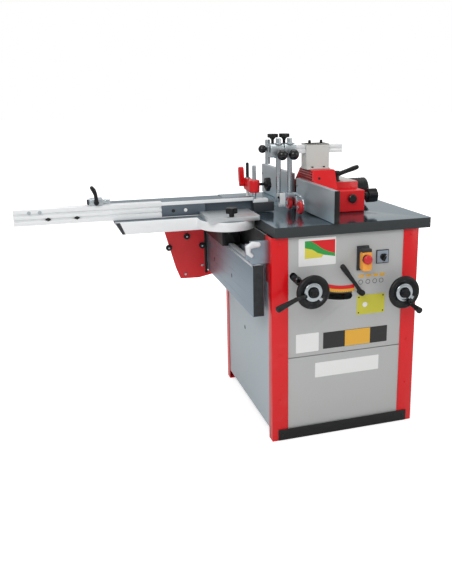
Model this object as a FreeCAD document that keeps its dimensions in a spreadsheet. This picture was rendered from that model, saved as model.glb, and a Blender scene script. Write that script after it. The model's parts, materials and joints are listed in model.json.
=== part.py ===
"""Spindle moulder with a sliding crosscut table, as one parametric document.

Millimetres, +Z up. The origin is on the floor under the middle of the cabinet, and the operator stands at -Y.
The spindle tilts about an axis along Y in the plane of the table top.
"""
import FreeCAD, Part
import math
import os

import Sketcher

SIZES = {
    # cabinet
    "cabinet_width": 616,
    "cabinet_depth": 700,
    "post_face": 66,
    "post_flank": 42,
    "post_sheet": 3,
    "gusset_reach": 75,
    "gusset_height": 180,
    "foot_thick": 6,
    "foot_hole": 14,
    "foot_hole_inset": 36,
    "foot_hole_depth": 24,
    "panel_sheet": 2,
    "panel_gap": 1,
    "panel_lift": 12,
    "side_lift": 40,
    "seam_height": 345,
    "seam_gap": 3,
    "plinth_inset": 25,
    "plinth_height": 46,
    "plinth_lift": 2,
    "plinth_sheet": 4,
    # table and its ring
    "table_height": 870,
    "table_thick": 40,
    "table_plate": 16,
    "table_rim": 20,
    "table_inset": 11,
    "table_overhang": 47,
    "table_front_over": 13,
    "table_rear_over": 167,
    "table_corner": 8,
    "rib_width": 16,
    "hole_radius": 98,
    "hub_wall": 20,
    "ring_seat": 110,
    "ring_thick": 8,
    "ring_bore": 46,
    "seat_gap": 0.3,
    # fits
    "running_gap": 0.05,
    "sliding_gap": 0.3,
    # spindle, motor and belt
    "spindle_y": 75,
    "shaft_radius": 20,
    "arbor_radius": 15,
    "arbor_top": 72,
    "spacer_radius": 25,
    "spacer_low": 4,
    "spacer_high": 50,
    "flange_radius": 26,
    "flange_thick": 8,
    "nut_radius": 22,
    "nut_thick": 16,
    "housing_radius": 60,
    "housing_top": 136,
    "housing_foot": 305,
    "plate_thick": 12,
    "plate_overhang": 8,
    "guide_wall": 12,
    "guide_top": 145,
    "guide_foot": 250,
    "motor_distance": 165,
    "motor_radius": 70,
    "motor_height": 163,
    "motor_shaft_radius": 12,
    "motor_shaft_depth": 40,
    "motor_shaft_hole": 14,
    "spindle_pulley_radius": 36,
    "motor_pulley_radius": 54,
    "pulley_thick": 30,
    "pulley_drop": 15,
    "belt_width": 24,
    "belt_thick": 4,
    "belt_gap": 0.4,
    # tilting cradle
    "tilt_range": 35,
    "bracket_reach": 123,
    "bracket_thick": 20,
    "bracket_half_width": 110,
    "bracket_foot": 190,
    "cradle_gap": 2,
    "cradle_plate": 12,
    "cradle_inner": 150,
    "cradle_left_angle": 25,
    "cradle_right_angle": 41,
    "web_half_width": 30,
    "stud_radius": 7.9,
    "stud_slot_half": 8,
    "stud_orbit": 165,
    "stud_angle": 20,
    "stud_spread": 6,
    "stud_head_radius": 13,
    "stud_head": 8,
    "slot_margin": 2.5,
    "arm_overhang": 22,
    "arm_low": 270,
    "arm_high": 175,
    # height handwheel, its rack and its lock knob
    "wheel_orbit": 294,
    "wheel_angle": 35,
    "lock_angle": 46.5,
    "panel_slot_half": 14,
    "wheel_stand": 52,
    "wheel_radius": 56,
    "rim_radius": 10,
    "hub_radius": 24,
    "hub_nose": 19,
    "hub_long": 48,
    "web_thick": 8,
    "dish_depth": 14,
    "wheel_shaft": 9,
    "shaft_tube": 13,
    "tube_setback": 7,
    "pinion_radius": 18,
    "pinion_wide": 16,
    "pinion_gap": 0.5,
    "rack_thick": 15,
    "rack_wide": 20,
    "rack_gap": 4,
    "rack_height": 190,
    "lock_stem": 5,
    "lock_stem_depth": 20,
    "lock_knob_radius": 15,
    "lock_knob_long": 24,
    "lock_knob_stand": 14,
    # crank grips
    "grip_pin": 5,
    "grip_thick": 9,
    "grip_end": 13,
    "height_grip_long": 96,
    "tilt_grip_long": 52,
    "grip_collar": 5,
    "grip_boss_radius": 8,
    "grip_boss_long": 20,
    "grip_boss_sink": 4,
    "grip_orbit": 54,
    "height_grip_angle": 75,
    "height_grip_lean": 72,
    "tilt_grip_angle": 30,
    "tilt_grip_lean": 12,
    # tilt handwheel and lock lever
    "tilt_wheel_x": 214,
    "tilt_wheel_drop": 279,
    "bearing_wall": 7,
    "bearing_long": 45,
    "gear_gap": 0.6,
    "gear_radius": 80,
    "lever_x": 55,
    "lever_drop": 279,
    "lever_hub": 16,
    "lever_hub_long": 34,
    "lever_arm_stand": 24,
    "lever_long": 148,
    "lever_root": 8,
    "lever_tip": 11,
    "lever_angle": 36.5,
    "lever_stem": 6,
    "lever_stem_depth": 14,
    # switches
    "switch_left": 40,
    "switch_width": 51,
    "switch_drop": 193,
    "switch_height": 98,
    "switch_deep": 18,
    "flap_inset": 6,
    "flap_deep": 30,
    "button_radius": 19,
    "button_x": 61,
    "button_drop": 139,
    "button_long": 16,
    "button_stem": 10,
    "button_stem_depth": 7,
    "button_travel": 5,
    "cam_left": 124,
    "cam_drop": 173,
    "cam_size": 55,
    "cam_plate": 6,
    "cam_knob_radius": 16,
    "cam_knob_deep": 20,
    "cam_grip_wide": 10,
    "cam_stem": 4,
    # fence
    "fence_face": 67,
    "fence_plate": 19,
    "fence_lift": 1,
    "fence_high": 125,
    "fence_rear_high": 138,
    "fence_front": 378,
    "fence_mouth_front": 42,
    "fence_mouth_rear": 108,
    "fence_rear": 530,
    "fence_hole": 5,
    "fence_hole_inset": 11,
    "fence_hole_height": 93,
    "hood_left": 32,
    "hood_width": 202,
    "hood_front": 138,
    "hood_shoulder": 89,
    "hood_crown_front": 58,
    "hood_crown_rear": 88,
    "hood_rear_shoulder": 174,
    "hood_rear": 288,
    "hood_low": 87,
    "hood_high": 167,
    "hood_wall": 6,
    "crown_width": 101,
    "step_front": 70,
    "step_rear": 174,
    "step_high": 115,
    "mouth_front": 10,
    "mouth_rear": 160,
    "mouth_high": 78,
    "slot_half": 57,
    "slot_high": 116,
    "rail_low": 32,
    "rail_high": 54,
    "rail_front": 132,
    "rail_rear": 282,
    "port_radius": 50,
    "port_wall": 4,
    "port_height": 60,
    "port_long": 98,
    "port_flange_thick": 6,
    "port_flange_over": 4,
    "knob_x": 112,
    "knob_height": 55,
    "front_knob_radius": 19,
    "front_knob_long": 14,
    "adjust_y": 118,
    "adjust_height": 60,
    "adjust_knob_radius": 31,
    "adjust_knob_long": 52,
    "adjust_stand": 7,
    "stem_radius": 6,
    "hood_lever_x": 86,
    "hood_lever_y": 40,
    "hood_lever_hub": 16,
    "hood_lever_high": 44,
    "hood_lever_long": 104,
    "hood_lever_thick": 9,
    "hood_lever_rise": 17,
    # pressure device
    "mast_width": 102,
    "mast_left": 45,
    "mast_front": 22,
    "mast_deep": 62,
    "mast_high": 106,
    "mast_foot": 8,
    "mast_flange": 9,
    "bar_size": 34,
    "bar_y": 9,
    "bar_rise": 67,
    "bar_left": 204,
    "bar_right": 122,
    "bar_wall": 4,
    "head_left": 206,
    "head_right": 98,
    "head_front": 44,
    "head_rear": 38,
    "head_over": 10,
    "shoe_rod_x": 170,
    "roller_rod_x": 121,
    "rod_y": 26,
    "rod_radius": 10.5,
    "rod_rise": 22,
    "spare_rod_x": 195,
    "spare_rod_drop": 32,
    "spare_rod_rise": 14,
    "shoe_lift": 18,
    "shoe_high": 60,
    "shoe_half": 12,
    "shoe_offset": 14,
    "shoe_cap": 12,
    "roller_radius": 27,
    "roller_wide": 15,
    "roller_x": 103,
    "roller_front_y": 122,
    "roller_rear_y": 6,
    "roller_lift": 1,
    "roller_bore_gap": 0.05,
    "axle_radius": 5,
    "axle_head": 9,
    "axle_head_thick": 4,
    "yoke_thick": 6,
    "yoke_gap": 3,
    "yoke_over": 11,
    "yoke_bar": 16,
    "yoke_bridge": 18,
    "yoke_block": 12,
    "top_knob_left_x": 183,
    "top_knob_right_x": 133,
    "top_knob_stem": 6,
    "top_knob_radius": 21,
    "top_knob_neck": 12,
    "top_knob_stand": 24,
    "top_knob_high": 16,
    "ball_radius": 22,
    "ball_stem": 6,
    "ball_stand": 10,
    "end_ball_radius": 17,
    "end_ball_stand": 2,
    "end_ball_drop": 22,
    # slide beam and its brackets
    "beam_stand": 22,
    "beam_width": 46,
    "beam_drop": 347,
    "beam_high": 196,
    "beam_front_inset": 23,
    "beam_long": 1200,
    "beam_wall": 5,
    "rail_wide": 26,
    "rail_height": 9,
    "brace_lift": 37,
    "brace_high": 140,
    "brace_long": 40,
    "brace_front_inset": 105,
    "brace_rear_inset": 47,
    "rail_stop_inset": 28,
    "rail_stop_long": 26,
    "rail_stop_reach": 88,
    "rail_stop_drop": 55,
    "rail_stop_high": 67,
    "rail_stop_arm": 86,
    "rail_stop_head": 36,
    "rail_stop_step": 10,
    "rail_stop_hole": 8,
    # crosscut carriage
    "deck_reach": 512,
    "deck_over": 30,
    "deck_front": 50,
    "deck_rear": 496,
    "deck_thick": 50,
    "deck_plate": 9,
    "deck_wall": 7,
    "deck_lip": 12,
    "deck_rib": 8,
    "deck_slope": 26,
    "lobe_reach": 81,
    "lobe_y": 95,
    "lobe_radius": 110,
    "lobe_thick": 36,
    "pivot_radius": 10,
    "pivot_high": 14,
    "saddle_front": 60,
    "saddle_rear": 428,
    "saddle_over": 16,
    "wing_thick": 8,
    "wing_top_reach": 273,
    "wing_knee_reach": 200,
    "wing_knee_rise": 22,
    "wing_foot_reach": 179,
    "wing_foot_drop": 33,
    "wing_heel_reach": 90,
    "wing_heel_drop": 36,
    "wing_toe_drop": 18,
    "wing_gap": 5,
    "buffer_radius": 15,
    "buffer_thick": 14,
    "buffer_top_reach": 143,
    "buffer_top_rise": 171,
    "buffer_left_reach": 230,
    "buffer_side_rise": 122,
    # mitre fence, extension and stop
    "head_block_left": 94,
    "head_block_right": 111,
    "head_block_front": 192,
    "head_block_top": 18,
    "mitre_front": 18,
    "mitre_deep": 40,
    "mitre_left": 244,
    "mitre_tip_left": 136,
    "mitre_tip_right": 225,
    "mitre_lift": 2,
    "mitre_high": 62,
    "tip_high": 38,
    "channel_low": 3,
    "channel_high": 48,
    "channel_deep": 30,
    "tongue_long": 175,
    "extension_left": 798,
    "extension_slot": 6,
    "extension_slot_deep": 8,
    "mitre_knob_y": 172,
    "mitre_knob_radius": 24,
    "mitre_knob_long": 34,
    "stop_left": 519,
    "stop_wide": 50,
    "stop_plate": 6,
    "stop_drop": 54,
    "stop_high": 26,
    "stop_lever_long": 66,
    "stop_lever_thick": 7,
    "stop_hub_over": 1,
    "stop_lever_lean": -10,
    "stop_pin": 5,
    "stop_barrel": 10,
    "stop_barrel_left": 8,
    "stop_barrel_right": 28,
    # hold-down clamp
    "column_reach": 145,
    "column_y": 2,
    "column_radius": 8,
    "column_high": 152,
    "sleeve_radius": 22,
    "sleeve_lift": 40,
    "sleeve_high": 52,
    "arm_half": 12,
    "arm_deep": 48,
    "arm_rear": 125,
    "pad_y": 100,
    "plunger_radius": 7,
    "plunger_rise": 66,
    "pad_radius": 15,
    "pad_lift": 38,
    "pad_high": 10,
    "clamp_knob_radius": 30,
    "clamp_knob_long": 22,
    "clamp_knob_stand": 22,
    "clamp_knob_lift": 33,
    "clamp_lever_thick": 20,
    "clamp_lever_wide": 23,
    "clamp_lever_long": 72,
    "clamp_lever_lean": -2,
    "clamp_lever_gap": 1,
    # screws
    "screw_radius": 5,
    "screw_head": 3,
    "plinth_screw_inset": 15,
    "seam_screw_rise": 20,
    "top_screw_drop": 25,
    "foot_bolt_inset": 25,
    "foot_bolt_head": 5,
    "mast_bolt_radius": 6,
    "mast_bolt_head": 14,
}

doc = FreeCAD.newDocument("SpindleMoulder")
sheet = doc.addObject("Spreadsheet::Sheet", "Sizes")
for row, (alias, number) in enumerate(SIZES.items(), start=1):
    sheet.set(f"A{row}", alias)
    sheet.set(f"B{row}", str(number))
    sheet.setAlias(f"B{row}", alias)
doc.recompute()

NODES = {}

# A lobed knob's core, the circle of its lobes and each lobe, as shares of its radius.
KNOB_CORE = 0.8
LOBE_ORBIT = 0.72
LOBE_RADIUS = 0.28
SPACERS = 4


class Size:
    """A number together with the sheet expression that gives it."""

    def __init__(self, value, text):
        self.value = value
        self.text = text

    def __add__(self, other):
        other = as_size(other)
        return Size(self.value + other.value, f"({self.text} + {other.text})")

    def __sub__(self, other):
        other = as_size(other)
        return Size(self.value - other.value, f"({self.text} - {other.text})")

    def __mul__(self, other):
        other = as_size(other)
        return Size(self.value * other.value, f"({self.text} * {other.text})")

    def __truediv__(self, other):
        other = as_size(other)
        return Size(self.value / other.value, f"({self.text} / {other.text})")

    def __neg__(self):
        return Size(-self.value, f"(0 - {self.text})")

    def __radd__(self, other):
        return as_size(other) + self

    def __rsub__(self, other):
        return as_size(other) - self

    def __rmul__(self, other):
        return as_size(other) * self


class Cells:
    """Gives each cell of the sheet by its alias."""

    def __getattr__(self, alias):
        return Size(float(SIZES[alias]), f"Sizes.{alias}")


S = Cells()


def as_size(item):
    return item if isinstance(item, Size) else Size(float(item), f"({item})")


def sine(angle):
    angle = as_size(angle)
    return Size(math.sin(math.radians(angle.value)), f"sin({angle.text})")


def cosine(angle):
    angle = as_size(angle)
    return Size(math.cos(math.radians(angle.value)), f"cos({angle.text})")


def root(square):
    return Size(math.sqrt(square.value), f"sqrt({square.text})")


TURNS = {
    "z": FreeCAD.Rotation(),
    "-z": FreeCAD.Rotation(FreeCAD.Vector(1, 0, 0), 180),
    "x": FreeCAD.Rotation(FreeCAD.Vector(0, 1, 0), 90),
    "-x": FreeCAD.Rotation(FreeCAD.Vector(0, 1, 0), -90),
    "y": FreeCAD.Rotation(FreeCAD.Vector(1, 0, 0), -90),
    "-y": FreeCAD.Rotation(FreeCAD.Vector(1, 0, 0), 90),
}


def turn_of(axis):
    return TURNS[axis] if isinstance(axis, str) else axis


def bind(made, **sizes):
    for name, size in sizes.items():
        made.setExpression(name, as_size(size).text)
    return made


def put(made, at, turn=FreeCAD.Rotation()):
    made.Placement = FreeCAD.Placement(FreeCAD.Vector(), turn)
    for axis, size in zip("xyz", at):
        made.setExpression(f"Placement.Base.{axis}", as_size(size).text)
    return made


def block(across, along, upright):
    """A box between two values on each of X, Y and Z."""
    low = [as_size(pair[0]) for pair in (across, along, upright)]
    spans = [as_size(pair[1]) - pair[0] for pair in (across, along, upright)]
    made = bind(doc.addObject("Part::Box", "Block"), Length=spans[0], Width=spans[1], Height=spans[2])
    return put(made, low)


def rod(axis, at, radius, length):
    made = bind(doc.addObject("Part::Cylinder", "Rod"), Radius=radius, Height=length)
    return put(made, at, turn_of(axis))


def taper(axis, at, radius, end_radius, length):
    made = bind(doc.addObject("Part::Cone", "Taper"), Radius1=radius, Radius2=end_radius, Height=length)
    return put(made, at, turn_of(axis))


def ball(at, radius):
    return put(bind(doc.addObject("Part::Sphere", "Ball"), Radius=radius), at)


def hoop(axis, at, radius, thick):
    made = bind(doc.addObject("Part::Torus", "Hoop"), Radius1=radius, Radius2=thick)
    return put(made, at, turn_of(axis))


def cut(base, *tools):
    made = doc.addObject("Part::Cut", "Cut")
    made.Base = base
    made.Tool = tools[0] if len(tools) == 1 else fuse(*tools)
    return made


def fuse(*pieces):
    made = doc.addObject("Part::MultiFuse", "Fuse")
    made.Shapes = list(pieces)
    made.Refine = True
    return made


def group(*pieces):
    made = doc.addObject("Part::Compound", "Group")
    made.Links = list(pieces)
    return made


def mirror(piece, across, middle=0):
    """A piece mirrored across a plane square to an axis at the middle value."""
    normal = {"x": FreeCAD.Vector(1, 0, 0), "y": FreeCAD.Vector(0, 1, 0)}[across]
    made = doc.addObject("Part::Mirroring", "Mirror")
    made.Source = piece
    made.Normal = normal
    made.setExpression(f"Base.{across}", as_size(middle).text)
    return made


def rounded(base, radius, wanted):
    """The base with the edges that wanted() picks rounded."""
    doc.recompute()
    made = doc.addObject("Part::Fillet", "Rounded")
    made.Base = base
    picked = [number for number, edge in enumerate(base.Shape.Edges, start=1) if wanted(edge)]
    made.Edges = [(number, radius.value, radius.value) for number in picked]
    return made


def upright_edge(edge):
    """Whether an edge is a straight one along Z."""
    ends = [vertex.Point for vertex in edge.Vertexes]
    return len(ends) == 2 and (ends[1] - ends[0]).cross(FreeCAD.Vector(0, 0, 1)).Length < 0.001


def outlined(plane, points):
    """A body with a closed outline of straight lines whose corners are bound to the sheet."""
    body = doc.addObject("PartDesign::Body", "Outlined")
    sketch = body.newObject("Sketcher::SketchObject", "Outline")
    support = [plate for plate in body.Origin.OriginFeatures if plate.Role == plane][0]
    sketch.AttachmentSupport = [(support, "")]
    sketch.MapMode = "FlatFace"
    corners = [(as_size(first), as_size(second)) for first, second in points]
    spots = [FreeCAD.Vector(first.value, second.value, 0) for first, second in corners]
    count = len(spots)
    for i in range(count):
        sketch.addGeometry(Part.LineSegment(spots[i], spots[(i + 1) % count]), False)
    for i in range(count):
        sketch.addConstraint(Sketcher.Constraint("Coincident", i, 2, (i + 1) % count, 1))
    for i, corner in enumerate(corners):
        for kind, size in zip(("DistanceX", "DistanceY"), corner):
            number = sketch.addConstraint(Sketcher.Constraint(kind, -1, 1, i, 1, size.value))
            sketch.setExpression(f"Constraints[{number}]", size.text)
    return body, sketch


def prism(plane, points, depth, at):
    """An outline given real depth: along +Z on XY_Plane, -Y on XZ_Plane and +X on YZ_Plane."""
    body, sketch = outlined(plane, points)
    pad = body.newObject("PartDesign::Pad", "Pad")
    pad.Profile = sketch
    bind(pad, Length=depth)
    return put(body, at)


def turned(axis, at, profile):
    """A profile of (radius, height) corners turned about an axis."""
    body, sketch = outlined("XZ_Plane", profile)
    solid = body.newObject("PartDesign::Revolution", "Turned")
    solid.Profile = sketch
    solid.ReferenceAxis = (sketch, ["V_Axis"])
    solid.Angle = 360
    return put(body, at, turn_of(axis))


def sector(at, outer, inner, start, end, depth):
    """A flat ring sector in the XZ plane, its angles from straight down towards +X, going -Y by depth."""
    facing = TURNS["-y"] * FreeCAD.Rotation(FreeCAD.Vector(0, 0, 1), 270 + as_size(start).value)
    outside = rod(facing, at, outer, depth)
    bind(outside, Angle=as_size(end) - start)
    return cut(outside, rod("-y", at, inner, depth))


def arc_slot(at, orbit, half, start, end, depth):
    """A round-ended slot along an arc in the XZ plane."""
    centre_x, back, centre_z = at
    ends = [
        rod("-y", (centre_x + orbit * sine(angle), back, centre_z - orbit * cosine(angle)), half, depth)
        for angle in (start, end)
    ]
    return fuse(sector(at, orbit + half, orbit - half, start, end, depth), *ends)


def lobed(axis, at, radius, length, lobes=5):
    """A clamping knob with a lobed edge, turned about an axis."""
    turn = turn_of(axis)
    core = rod(axis, at, radius * KNOB_CORE, length)
    fingers = []
    for i in range(lobes):
        angle = 2 * math.pi * i / lobes
        spoke = turn.multVec(FreeCAD.Vector(math.cos(angle), math.sin(angle), 0))
        centre = [as_size(place) + radius * LOBE_ORBIT * round(step, 6) for place, step in zip(at, spoke)]
        fingers.append(rod(axis, centre, radius * LOBE_RADIUS, length))
    return fuse(core, *fingers)


def node(label, piece):
    piece.Label = label
    NODES[label] = piece
    return piece


# Places that several pieces share.
LEFT = -S.cabinet_width / 2
FRONT = -S.cabinet_depth / 2
TABLE_TOP = S.table_height
TABLE_FOOT = S.table_height - S.table_thick
PANEL_FACE = FRONT + S.post_sheet
PANEL_BACK = PANEL_FACE + S.panel_sheet
SPINDLE = (as_size(0), S.spindle_y)
WHEEL_X = -S.wheel_orbit * sine(S.wheel_angle)
WHEEL_Z = TABLE_TOP - S.wheel_orbit * cosine(S.wheel_angle)
LOCK_X = -S.wheel_orbit * sine(S.lock_angle)
LOCK_Z = TABLE_TOP - S.wheel_orbit * cosine(S.lock_angle)
TILT_Z = TABLE_TOP - S.tilt_wheel_drop
WHEEL_Y = FRONT - S.wheel_stand
CRADLE_FRONT = S.spindle_y - S.bracket_reach + S.cradle_gap
CRADLE_REAR = S.spindle_y + S.bracket_reach - S.cradle_gap
RACK_FACE = WHEEL_X + S.pinion_radius + S.pinion_gap
RACK_FRONT = CRADLE_FRONT + S.cradle_plate + S.rack_gap
PLATE_LOW = TABLE_TOP - S.housing_foot
HOOD_RIGHT = S.hood_width - S.hood_left
HOOD_LOW = TABLE_TOP + S.hood_low
STEP_TOP = TABLE_TOP + S.step_high
HOOD_TOP = TABLE_TOP + S.hood_high
BAR_LOW = HOOD_TOP + S.bar_rise
BEAM_RIGHT = LEFT - S.beam_stand
BEAM_LEFT = BEAM_RIGHT - S.beam_width
BEAM_LOW = TABLE_TOP - S.beam_drop
BEAM_TOP = BEAM_LOW + S.beam_high
RAIL_TOP = BEAM_TOP + S.rail_height
BEAM_MIDDLE = BEAM_RIGHT - S.beam_width / 2
LOBE_X = BEAM_RIGHT - S.lobe_reach
DECK_LOW = TABLE_TOP - S.deck_thick
MITRE_LOW = TABLE_TOP + S.mitre_lift
MITRE_TOP = MITRE_LOW + S.mitre_high
TIP_TOP = MITRE_LOW + S.tip_high
HEAD_TOP = TABLE_TOP + S.head_block_top


def cabinet():
    """Four folded corner posts with feet, the sheets between them and the plinth."""
    upright = (0, TABLE_FOOT)
    post = fuse(
        block((LEFT, LEFT + S.post_face), (FRONT, FRONT + S.post_sheet), upright),
        block((LEFT, LEFT + S.post_sheet), (FRONT, FRONT + S.post_flank), upright),
        block((LEFT, LEFT + S.post_sheet), (FRONT, FRONT + S.gusset_reach),
              (TABLE_FOOT - S.gusset_height, TABLE_FOOT)),
        block((LEFT, LEFT + S.post_face), (FRONT, FRONT + S.post_flank), (0, S.foot_thick)),
    )
    hole_at = (LEFT + S.foot_hole_inset, FRONT + S.foot_hole_depth, 0)
    post = cut(post, rod("z", hole_at, S.foot_hole / 2, S.foot_thick))
    left_rear = mirror(post, "y")
    node("corner_posts", group(post, left_rear, mirror(post, "x"), mirror(left_rear, "x")))

    side_out = -LEFT - S.post_sheet
    side_in = side_out - S.panel_sheet
    half_deep = -PANEL_BACK - S.panel_gap
    half_wide = side_in - S.panel_gap
    high = (S.side_lift, TABLE_FOOT - S.panel_gap)
    left_sheet = block((-side_out, -side_in), (-half_deep, half_deep), high)
    rear_sheet = block((-half_wide, half_wide), (-PANEL_BACK, -PANEL_FACE), high)
    node("outer_panels", group(left_sheet, mirror(left_sheet, "x"), rear_sheet))

    across = (-half_wide, half_wide)
    seam_low = S.seam_height - S.seam_gap / 2
    node("lower_front_panel", block(across, (PANEL_FACE, PANEL_BACK), (S.panel_lift, seam_low)))

    face = block(across, (PANEL_FACE, PANEL_BACK), (seam_low + S.seam_gap, TABLE_FOOT - S.panel_gap))
    bearing_at = (S.tilt_wheel_x, PANEL_BACK, TILT_Z)
    bearing = rod("y", bearing_at, S.wheel_shaft + S.bearing_wall, S.bearing_long)
    deep = S.panel_sheet + S.bearing_long
    openings = [
        arc_slot((0, PANEL_BACK, TABLE_TOP), S.wheel_orbit, S.panel_slot_half,
                 -S.lock_angle - S.slot_margin, S.tilt_range - S.wheel_angle + S.slot_margin, S.panel_sheet),
        rod("y", (S.tilt_wheel_x, PANEL_FACE, TILT_Z), S.wheel_shaft + S.running_gap, deep),
        rod("y", (S.lever_x, PANEL_FACE, TABLE_TOP - S.lever_drop), S.lever_stem + S.running_gap,
            S.panel_sheet),
    ]
    node("control_panel", cut(fuse(face, bearing), *openings))

    half_plinth = -LEFT - S.plinth_inset
    node("front_plinth", block((-half_plinth, half_plinth), (FRONT - S.plinth_sheet, FRONT),
                               (S.plinth_lift, S.plinth_lift + S.plinth_height)))


def table():
    """The ribbed cast table, its loose ring and the brackets that carry the tilting cradle."""
    left = LEFT + S.table_inset
    right = -LEFT + S.table_overhang
    front = FRONT - S.table_front_over
    rear = -FRONT + S.table_rear_over
    under = TABLE_TOP - S.table_plate
    slab = rounded(block((left, right), (front, rear), (TABLE_FOOT, TABLE_TOP)), S.table_corner, upright_edge)
    hollow = block((left + S.table_rim, right - S.table_rim), (front + S.table_rim, rear - S.table_rim),
                   (TABLE_FOOT, under))
    inner = (left + S.table_rim, right - S.table_rim)
    half_rib = S.rib_width / 2
    rear_rib = block(inner, (-FRONT - half_rib, -FRONT + half_rib), (TABLE_FOOT, under))
    side_rib = block((-LEFT - half_rib, -LEFT + half_rib), (front + S.table_rim, rear - S.table_rim),
                     (TABLE_FOOT, under))
    hub = rod("z", (*SPINDLE, TABLE_FOOT), S.hole_radius + S.hub_wall, S.table_thick - S.table_plate)
    seat_low = TABLE_TOP - S.ring_thick
    body = cut(fuse(cut(slab, hollow), rear_rib, side_rib, hub),
               rod("z", (*SPINDLE, TABLE_FOOT), S.hole_radius, S.table_thick),
               rod("z", (*SPINDLE, seat_low), S.ring_seat, S.ring_thick))
    node("table_top", body)

    ring = cut(rod("z", (*SPINDLE, seat_low), S.ring_seat - S.seat_gap, S.ring_thick),
               rod("z", (*SPINDLE, seat_low), S.ring_bore, S.ring_thick))
    node("table_ring", ring)

    reach = S.stud_angle + S.stud_spread + S.slot_margin
    front_back = S.spindle_y - S.bracket_reach
    wide = (-S.bracket_half_width, S.bracket_half_width)
    plate = block(wide, (front_back - S.bracket_thick, front_back), (TABLE_TOP - S.bracket_foot, under))
    slot = arc_slot((0, front_back, TABLE_TOP), S.stud_orbit, S.stud_slot_half, -reach, reach, S.bracket_thick)
    bracket = cut(plate, slot)
    node("trunnion_brackets", group(bracket, mirror(bracket, "y", S.spindle_y)))


def cradle():
    """The tilting cradle: two plates on studs in the bracket slots, the guide tube and the wheel's arm."""
    deep = S.cradle_plate
    plate_back = CRADLE_FRONT + deep
    tilt_axis = (0, plate_back, TABLE_TOP)
    gear_reach = root(S.tilt_wheel_x * S.tilt_wheel_x + S.tilt_wheel_drop * S.tilt_wheel_drop)
    outer = gear_reach - S.gear_radius - S.gear_gap
    front_plate = sector(tilt_axis, outer, S.cradle_inner, -S.cradle_left_angle, S.cradle_right_angle, deep)
    rear_plate = sector((0, CRADLE_REAR, TABLE_TOP), outer, S.cradle_inner, -S.cradle_left_angle,
                        S.cradle_left_angle, deep)
    low = TABLE_TOP - S.guide_foot
    high = TABLE_TOP - S.guide_top
    guide = rod("z", (*SPINDLE, low), S.housing_radius + S.guide_wall, high - low)
    half = S.web_half_width
    web = block((-half, half), (CRADLE_FRONT, CRADLE_REAR), (low, high))
    arm = block((LOCK_X - S.arm_overhang, 0), (CRADLE_FRONT, plate_back),
                (TABLE_TOP - S.arm_low, TABLE_TOP - S.arm_high))
    tube_end = PANEL_BACK + S.tube_setback
    tube = rod("y", (WHEEL_X, tube_end, WHEEL_Z), S.shaft_tube, plate_back - tube_end)
    post = rod("y", (LOCK_X, tube_end, LOCK_Z), S.shaft_tube, plate_back - tube_end)
    studs = []
    for side in (-1, 1):
        angle = -S.stud_angle + S.stud_spread * side
        at = (S.stud_orbit * sine(angle), CRADLE_FRONT, TABLE_TOP - S.stud_orbit * cosine(angle))
        through = S.bracket_thick + S.cradle_gap * 2
        studs.append(rod("-y", at, S.stud_radius, through + S.stud_head))
        studs.append(rod("-y", (at[0], CRADLE_FRONT - through, at[2]), S.stud_head_radius, S.stud_head))
    stud_set = fuse(*studs)
    whole = fuse(front_plate, rear_plate, guide, web, arm, tube, post, stud_set,
                 mirror(stud_set, "y", S.spindle_y))
    bore = rod("z", (*SPINDLE, low), S.housing_radius + S.running_gap, high - low)
    shaft_bore = rod("y", (WHEEL_X, tube_end, WHEEL_Z), S.wheel_shaft + S.running_gap, plate_back - tube_end)
    lock_bore = rod("y", (LOCK_X, tube_end, LOCK_Z), S.lock_stem + S.running_gap, S.lock_stem_depth)
    node("tilt_cradle", cut(whole, bore, shaft_bore, lock_bore))


def belt_outline(extra, low):
    """The hull of the two pulleys grown by extra, as one solid of the belt's width."""
    spindle_r = S.spindle_pulley_radius + extra
    motor_r = S.motor_pulley_radius + extra
    lean = (motor_r - spindle_r) / S.motor_distance
    side = root(1 - lean * lean)
    motor_x = -S.motor_distance
    corners = [
        (spindle_r * -lean, S.spindle_y - spindle_r * side),
        (spindle_r * -lean, S.spindle_y + spindle_r * side),
        (motor_x - motor_r * lean, S.spindle_y + motor_r * side),
        (motor_x - motor_r * lean, S.spindle_y - motor_r * side),
    ]
    return fuse(
        rod("z", (*SPINDLE, low), spindle_r, S.belt_width),
        rod("z", (motor_x, S.spindle_y, low), motor_r, S.belt_width),
        prism("XY_Plane", corners, S.belt_width, (0, 0, low)),
    )


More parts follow.
